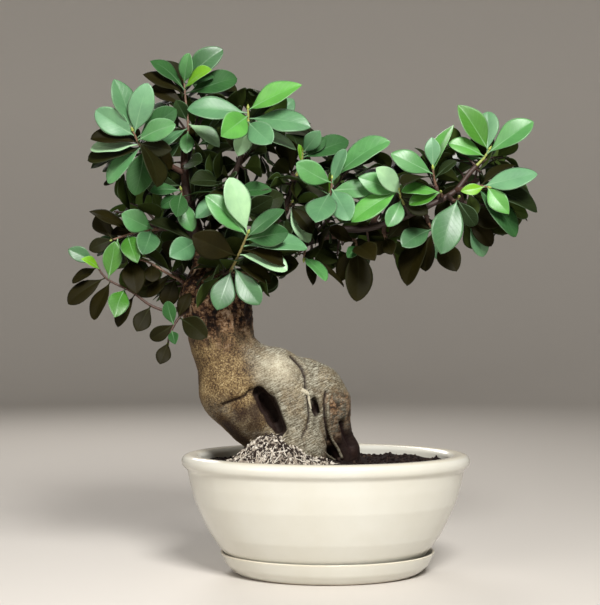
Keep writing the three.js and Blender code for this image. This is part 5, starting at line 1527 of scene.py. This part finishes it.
# ---- Leaves ----
LEAF_STEPS = 16
LEAF_SIDES = np.array([[-1, -0.84, -0.56, -0.28, -0.09, 0, 0.09, 0.28, 0.56, 0.84, 1]])
PETIOLE = 0.07
STALK_HALF = 0.65
STALK_THICK, BLADE_THICK = 1.5, 0.45
FULLNESS = 1.1
WEDGE, TIP_WIDTH, TIP_SHARE = 0.88, 0.05, 0.06
# How leaves differ: where they are widest, how blunt, arched, folded in degrees, cupped and waved.
PEAK, BLUNT, ARCH, FOLD = (1.15, 1.5), (0.42, 0.72), (0.75, 1.45), (5, 17)
CUP, DROOP, RIPPLE, WAVES = (-0.10, 0.12), (0.0, 0.07), (0.004, 0.016), (1.2, 2.2)
SWAY, TWIST = 0.018, 0.12
DROOP_FROM, SIDE_LAG, FOLD_ROUND, FOLD_LEVEL = 0.55, 1.9, 0.7, 0.84
GROOVE_DEPTH, GROOVE_HALF, RIB_SWELL = 0.16, 0.9, 1.6
TWIG_SLOT, LEAF_SLOT, SHADED_SLOT = 1, 0, 2
# Leaves below this tone lie in shade, and take the material with hardly any shine.
DULL_BELOW = 0.23


def blade_half(share, peak, blunt):
    """Half width over full width: a wedge at the base, fullest past the middle, a short blunt point."""
    power = WEDGE - (WEDGE - blunt) * share ** 0.8
    body = np.sin(math.pi * np.clip(share / 0.985, 0, 1) ** peak) ** power
    point = TIP_WIDTH * np.clip((1 - share) / TIP_SHARE, 0, 1)
    return 0.5 * FULLNESS * np.maximum(body, point)


def add_leaf(bundle, leaf, tone, random):
    """One leaf: a stalk that widens into a folded, arched and slightly waved blade."""
    blade = (1 - np.cos(math.pi * np.arange(LEAF_STEPS) / LEAF_STEPS)) / 2
    share = np.concatenate([[0, 0.05], PETIOLE + (1 - PETIOLE) * blade])[:, None]
    inner = np.clip((share - PETIOLE) / (1 - PETIOLE), 0, 1)
    young = smooth_step(0.5, 0.8, tone)
    peak = random.uniform(*PEAK) - 0.2 * young
    blunt = random.uniform(*BLUNT) + 0.1 * young
    arch = LEAF_ARCH * random.uniform(*ARCH)
    fold = math.tan(math.radians(random.uniform(*FOLD)))
    cup = random.uniform(*CUP)
    droop = random.uniform(*DROOP) * leaf.length
    ripple = random.uniform(*RIPPLE) * leaf.length
    phase, waves = random.uniform(0, 2 * math.pi), random.uniform(*WAVES)
    sway, twist = random.normal(0, SWAY), random.normal(0, TWIST)
    stalk = STALK_HALF * (1.25 - 2 * share).clip(0.5)
    half = np.maximum(stalk * (inner < 0.5), blade_half(inner, peak, blunt) * leaf.width)
    x = LEAF_SIDES * half
    on_blade = smooth_step(0, 0.18, inner)
    hang = droop * np.clip((share - DROOP_FROM) / (1 - DROOP_FROM), 0, 1) ** 2
    rise = 4 * arch * leaf.length * share * (1 - share) - hang
    lift = fold * (np.sqrt(x * x + FOLD_ROUND) - FOLD_LEVEL) - cup * x * x / max(1.0, leaf.width / 2)
    swing = 2 * math.pi * waves * share + phase + SIDE_LAG * (LEAF_SIDES > 0)
    wave = ripple * np.sin(swing) * LEAF_SIDES ** 2
    z = rise + on_blade * (lift + wave) + np.sin(twist * (share - 0.2)) * x * 2
    x = x + sway * leaf.length * np.sin(math.pi * share)
    middle = (leaf.foot + share[..., None] * leaf.length * leaf.along
              + x[..., None] * leaf.across + z[..., None] * leaf.up)
    thick = BLADE_THICK + (STALK_THICK - BLADE_THICK) * (1 - smooth_step(0.02, 0.22, share))
    round_off = (1 - np.abs(LEAF_SIDES) ** (2 + 6 * on_blade)) * thick / 2
    groove = GROOVE_DEPTH * np.exp(-(x / GROOVE_HALF) ** 2) * on_blade
    top = middle + (round_off - groove)[..., None] * leaf.up
    below = middle - (round_off + RIB_SWELL * groove)[..., None] * leaf.up
    tip = leaf.foot + leaf.length * leaf.along - droop * leaf.up
    points, faces = closed_blade(top, below, tip)

    def spread(values, tip_value):
        values = np.broadcast_to(values, x.shape)
        return np.concatenate([values.ravel(), values[:, 1:-1].ravel(), [tip_value]])

    under = np.concatenate([np.zeros(x.size), np.ones(len(points) - x.size - 1), [0]])
    rib = np.exp(-(LEAF_SIDES * half / 0.8) ** 2) * (1 - 0.55 * inner)
    material = SHADED_SLOT if tone < DULL_BELOW else LEAF_SLOT
    bundle.add(points, faces, material, tone=tone, along=spread(inner, 1), under=under,
               side=spread(np.abs(LEAF_SIDES), 0.9), rib=spread(rib, 0))


def closed_blade(top, below, tip):
    """A leaf's points and faces: its upper side, its lower side inside the shared margin, and its tip."""
    rows, columns = top.shape[:2]
    points = np.concatenate([top.reshape(-1, 3), below[:, 1:-1].reshape(-1, 3), [tip]])
    upper = np.arange(rows * columns).reshape(rows, columns)
    lower = upper.copy()
    lower[:, 1:-1] = rows * columns + np.arange(rows * (columns - 2)).reshape(rows, columns - 2)
    a, b, c, d = lower[:-1, :-1], lower[:-1, 1:], lower[1:, 1:], lower[1:, :-1]
    lower_quads = np.stack([a, d, c, b], axis=-1).reshape(-1, 4)
    last = np.full(columns - 1, len(points) - 1)
    top_tip = np.stack([upper[-1, :-1], upper[-1, 1:], last], axis=1)
    low_tip = np.stack([lower[-1, 1:], lower[-1, :-1], last], axis=1)
    foot_cap = np.concatenate([lower[0], upper[0, -2:0:-1]])[None]
    return points, [grid_faces(rows, columns), lower_quads, top_tip, low_tip, foot_cap]


# The tint of each shoot's own stem, from old bark to young green.
STEM_TONES = {
    "shoot_front": 0.7, "shoot_upper_middle": 0.85, "shoot_right_tip": 0.95, "shoot_top": 0.45,
    "spray_drooping": 0.22, "spray_low": 0.2, "shoot_right_first": 0.85, "shoot_middle": 0.85,
}
OTHER_STEM_TONE, BUD_TONE, SIDE_TWIG_TONE = 0.48, 1.0, 0.12
STEM_RADII, STEM_STEP, STEM_SIDES = (1.5, 1.0), 1.5, 8
STEM_UNEVEN, UNEVEN_PACE = 0.09, 1.9
SIDE_TWIG_RADII, SIDE_TWIG_STEP, SIDE_TWIG_SIDES = (1.5, 0.9), 2, 6
BUD_LENGTH, BUD_SIDES, BUD_RADII = 5, 7, (1.2, 1.5, 1.3, 0.8, 0.15)
SHOOT_SEED = 100


def add_stem(bundle, stem, tone):
    """A shoot's green stem, uneven where leaves stood, and the bud at its tip."""
    path = smooth_path(stem, STEM_STEP)
    uneven = 1 + STEM_UNEVEN * np.sin(np.arange(len(path)) * UNEVEN_PACE)
    radii = np.linspace(*STEM_RADII, len(path)) * uneven
    bundle.add(*tube(path, radii, STEM_SIDES), TWIG_SLOT, tone=tone)
    bud = path[-1] + unit(path[-1] - path[-2]) * np.linspace(0, BUD_LENGTH, len(BUD_RADII))[:, None]
    bundle.add(*tube(bud, BUD_RADII, BUD_SIDES), TWIG_SLOT, tone=BUD_TONE)


def make_shoots(leaf_material, shaded, twig):
    grown, stems, twigs = grow()
    for i, (name, _, _, _) in enumerate(SHOOTS):
        bundle = Bundle(("tone", "along", "side", "rib", "under"))
        random = np.random.RandomState(SHOOT_SEED + i)
        add_stem(bundle, stems[i], STEM_TONES.get(name, OTHER_STEM_TONE))
        for line in [line for owner, line in twigs if owner == i]:
            path = smooth_path(line, SIDE_TWIG_STEP)
            radii = np.linspace(*SIDE_TWIG_RADII, len(path))
            bundle.add(*tube(path, radii, SIDE_TWIG_SIDES), TWIG_SLOT, tone=SIDE_TWIG_TONE)
        for leaf, tone in [(leaf, tone) for owner, leaf, tone in grown if owner == i]:
            tone = float(np.clip(tone + random.normal(0, TONE_SPREAD), 0, 1))
            add_leaf(bundle, leaf, tone, random)
        finish_piece(bundle.make(name + "_leaves", [leaf_material, twig, shaded]), "leaf", name)


# ---- Stage, camera and light ----
FLOOR_FLAT, FLOOR_REACH, WALL_HEIGHT, FLOOR_TURNS = 2400.0, 3400.0, 2200.0, 96


def make_stage():
    """A pale floor that curves up all round, far from the plant."""
    bend = FLOOR_REACH - FLOOR_FLAT
    profile = [(FLOOR_FLAT / 2, 0.0), (FLOOR_FLAT, 0.0)]
    profile += [(FLOOR_FLAT + bend * math.sin(t), bend * (1 - math.cos(t)))
                for t in np.linspace(0.1, math.pi / 2, 14)]
    profile += [(FLOOR_REACH, WALL_HEIGHT)]
    turn = angles_of(FLOOR_TURNS)
    rings = [np.stack([radius * np.cos(turn), radius * np.sin(turn), np.full(FLOOR_TURNS, height)], axis=1)
             for radius, height in profile]
    quads, middle, _ = ring_faces(len(profile), FLOOR_TURNS, turned_over=True)
    bundle = Bundle()
    bundle.add(np.concatenate(rings + [np.zeros((1, 3))]), [quads, middle])
    bundle.make("floor", [floor_look()])


def add_light(name, spot, aim, size, power, colour):
    data = bpy.data.lights.new(name, "AREA")
    data.shape, data.size, data.energy, data.color = "DISK", size, power, colour
    light = bpy.data.objects.new(name, data)
    light.location = spot
    across, away, up = np.array(aim) - np.array(spot)
    light.rotation_euler = (math.atan2(math.hypot(across, away), -up), 0, math.atan2(-across, away))
    bpy.context.scene.collection.objects.link(light)


def make_lights():
    add_light("key", (0.28, -1.3, 1.32), (0, 0, 0.28), 0.6, 46, (1.0, 0.99, 0.97))
    add_light("fill", (-1.2, -1.3, 0.8), (0, 0, 0.25), 1.0, 9, (1.0, 0.96, 0.92))
    add_light("back", (-0.5, 1.5, 1.3), (0, 0, 0.3), 1.0, 12, (1.0, 0.97, 0.94))
    world = bpy.data.worlds.new("studio")
    bpy.context.scene.world = world
    world.use_nodes = True
    background = world.node_tree.nodes["Background"]
    background.inputs["Color"].default_value = (1.0, 0.97, 0.93, 1)
    background.inputs["Strength"].default_value = 0.15
    bpy.context.scene.view_settings.view_transform = "Standard"


PICTURE_HEIGHT = 605
FOCAL_PIXELS = 1327
SENSOR_WIDTH = 36
# The eye's level is this many pixels below the picture's middle.
PIXELS_UP = 5.5


def make_camera():
    data = bpy.data.cameras.new("view")
    data.sensor_width = SENSOR_WIDTH
    data.lens = FOCAL_PIXELS / PICTURE_HEIGHT * SENSOR_WIDTH
    camera = bpy.data.objects.new("view", data)
    camera.location = EYE * MM
    camera.rotation_euler = (math.pi / 2 + PIXELS_UP / FOCAL_PIXELS, 0, 0)
    bpy.context.scene.collection.objects.link(camera)
    bpy.context.scene.camera = camera


make_camera()
make_lights()
make_stage()
make_pottery(glaze_look())
make_soil(soil_look())
make_root_mat(fibre_look())
twig_material = twig_look()
make_trunk(bark_look(), twig_material)
make_shoots(leaf_look("leaf", 0.43, 0.5, 0.22), leaf_look("leaf_shaded", 0.55, 0.08, 0.0), twig_material)
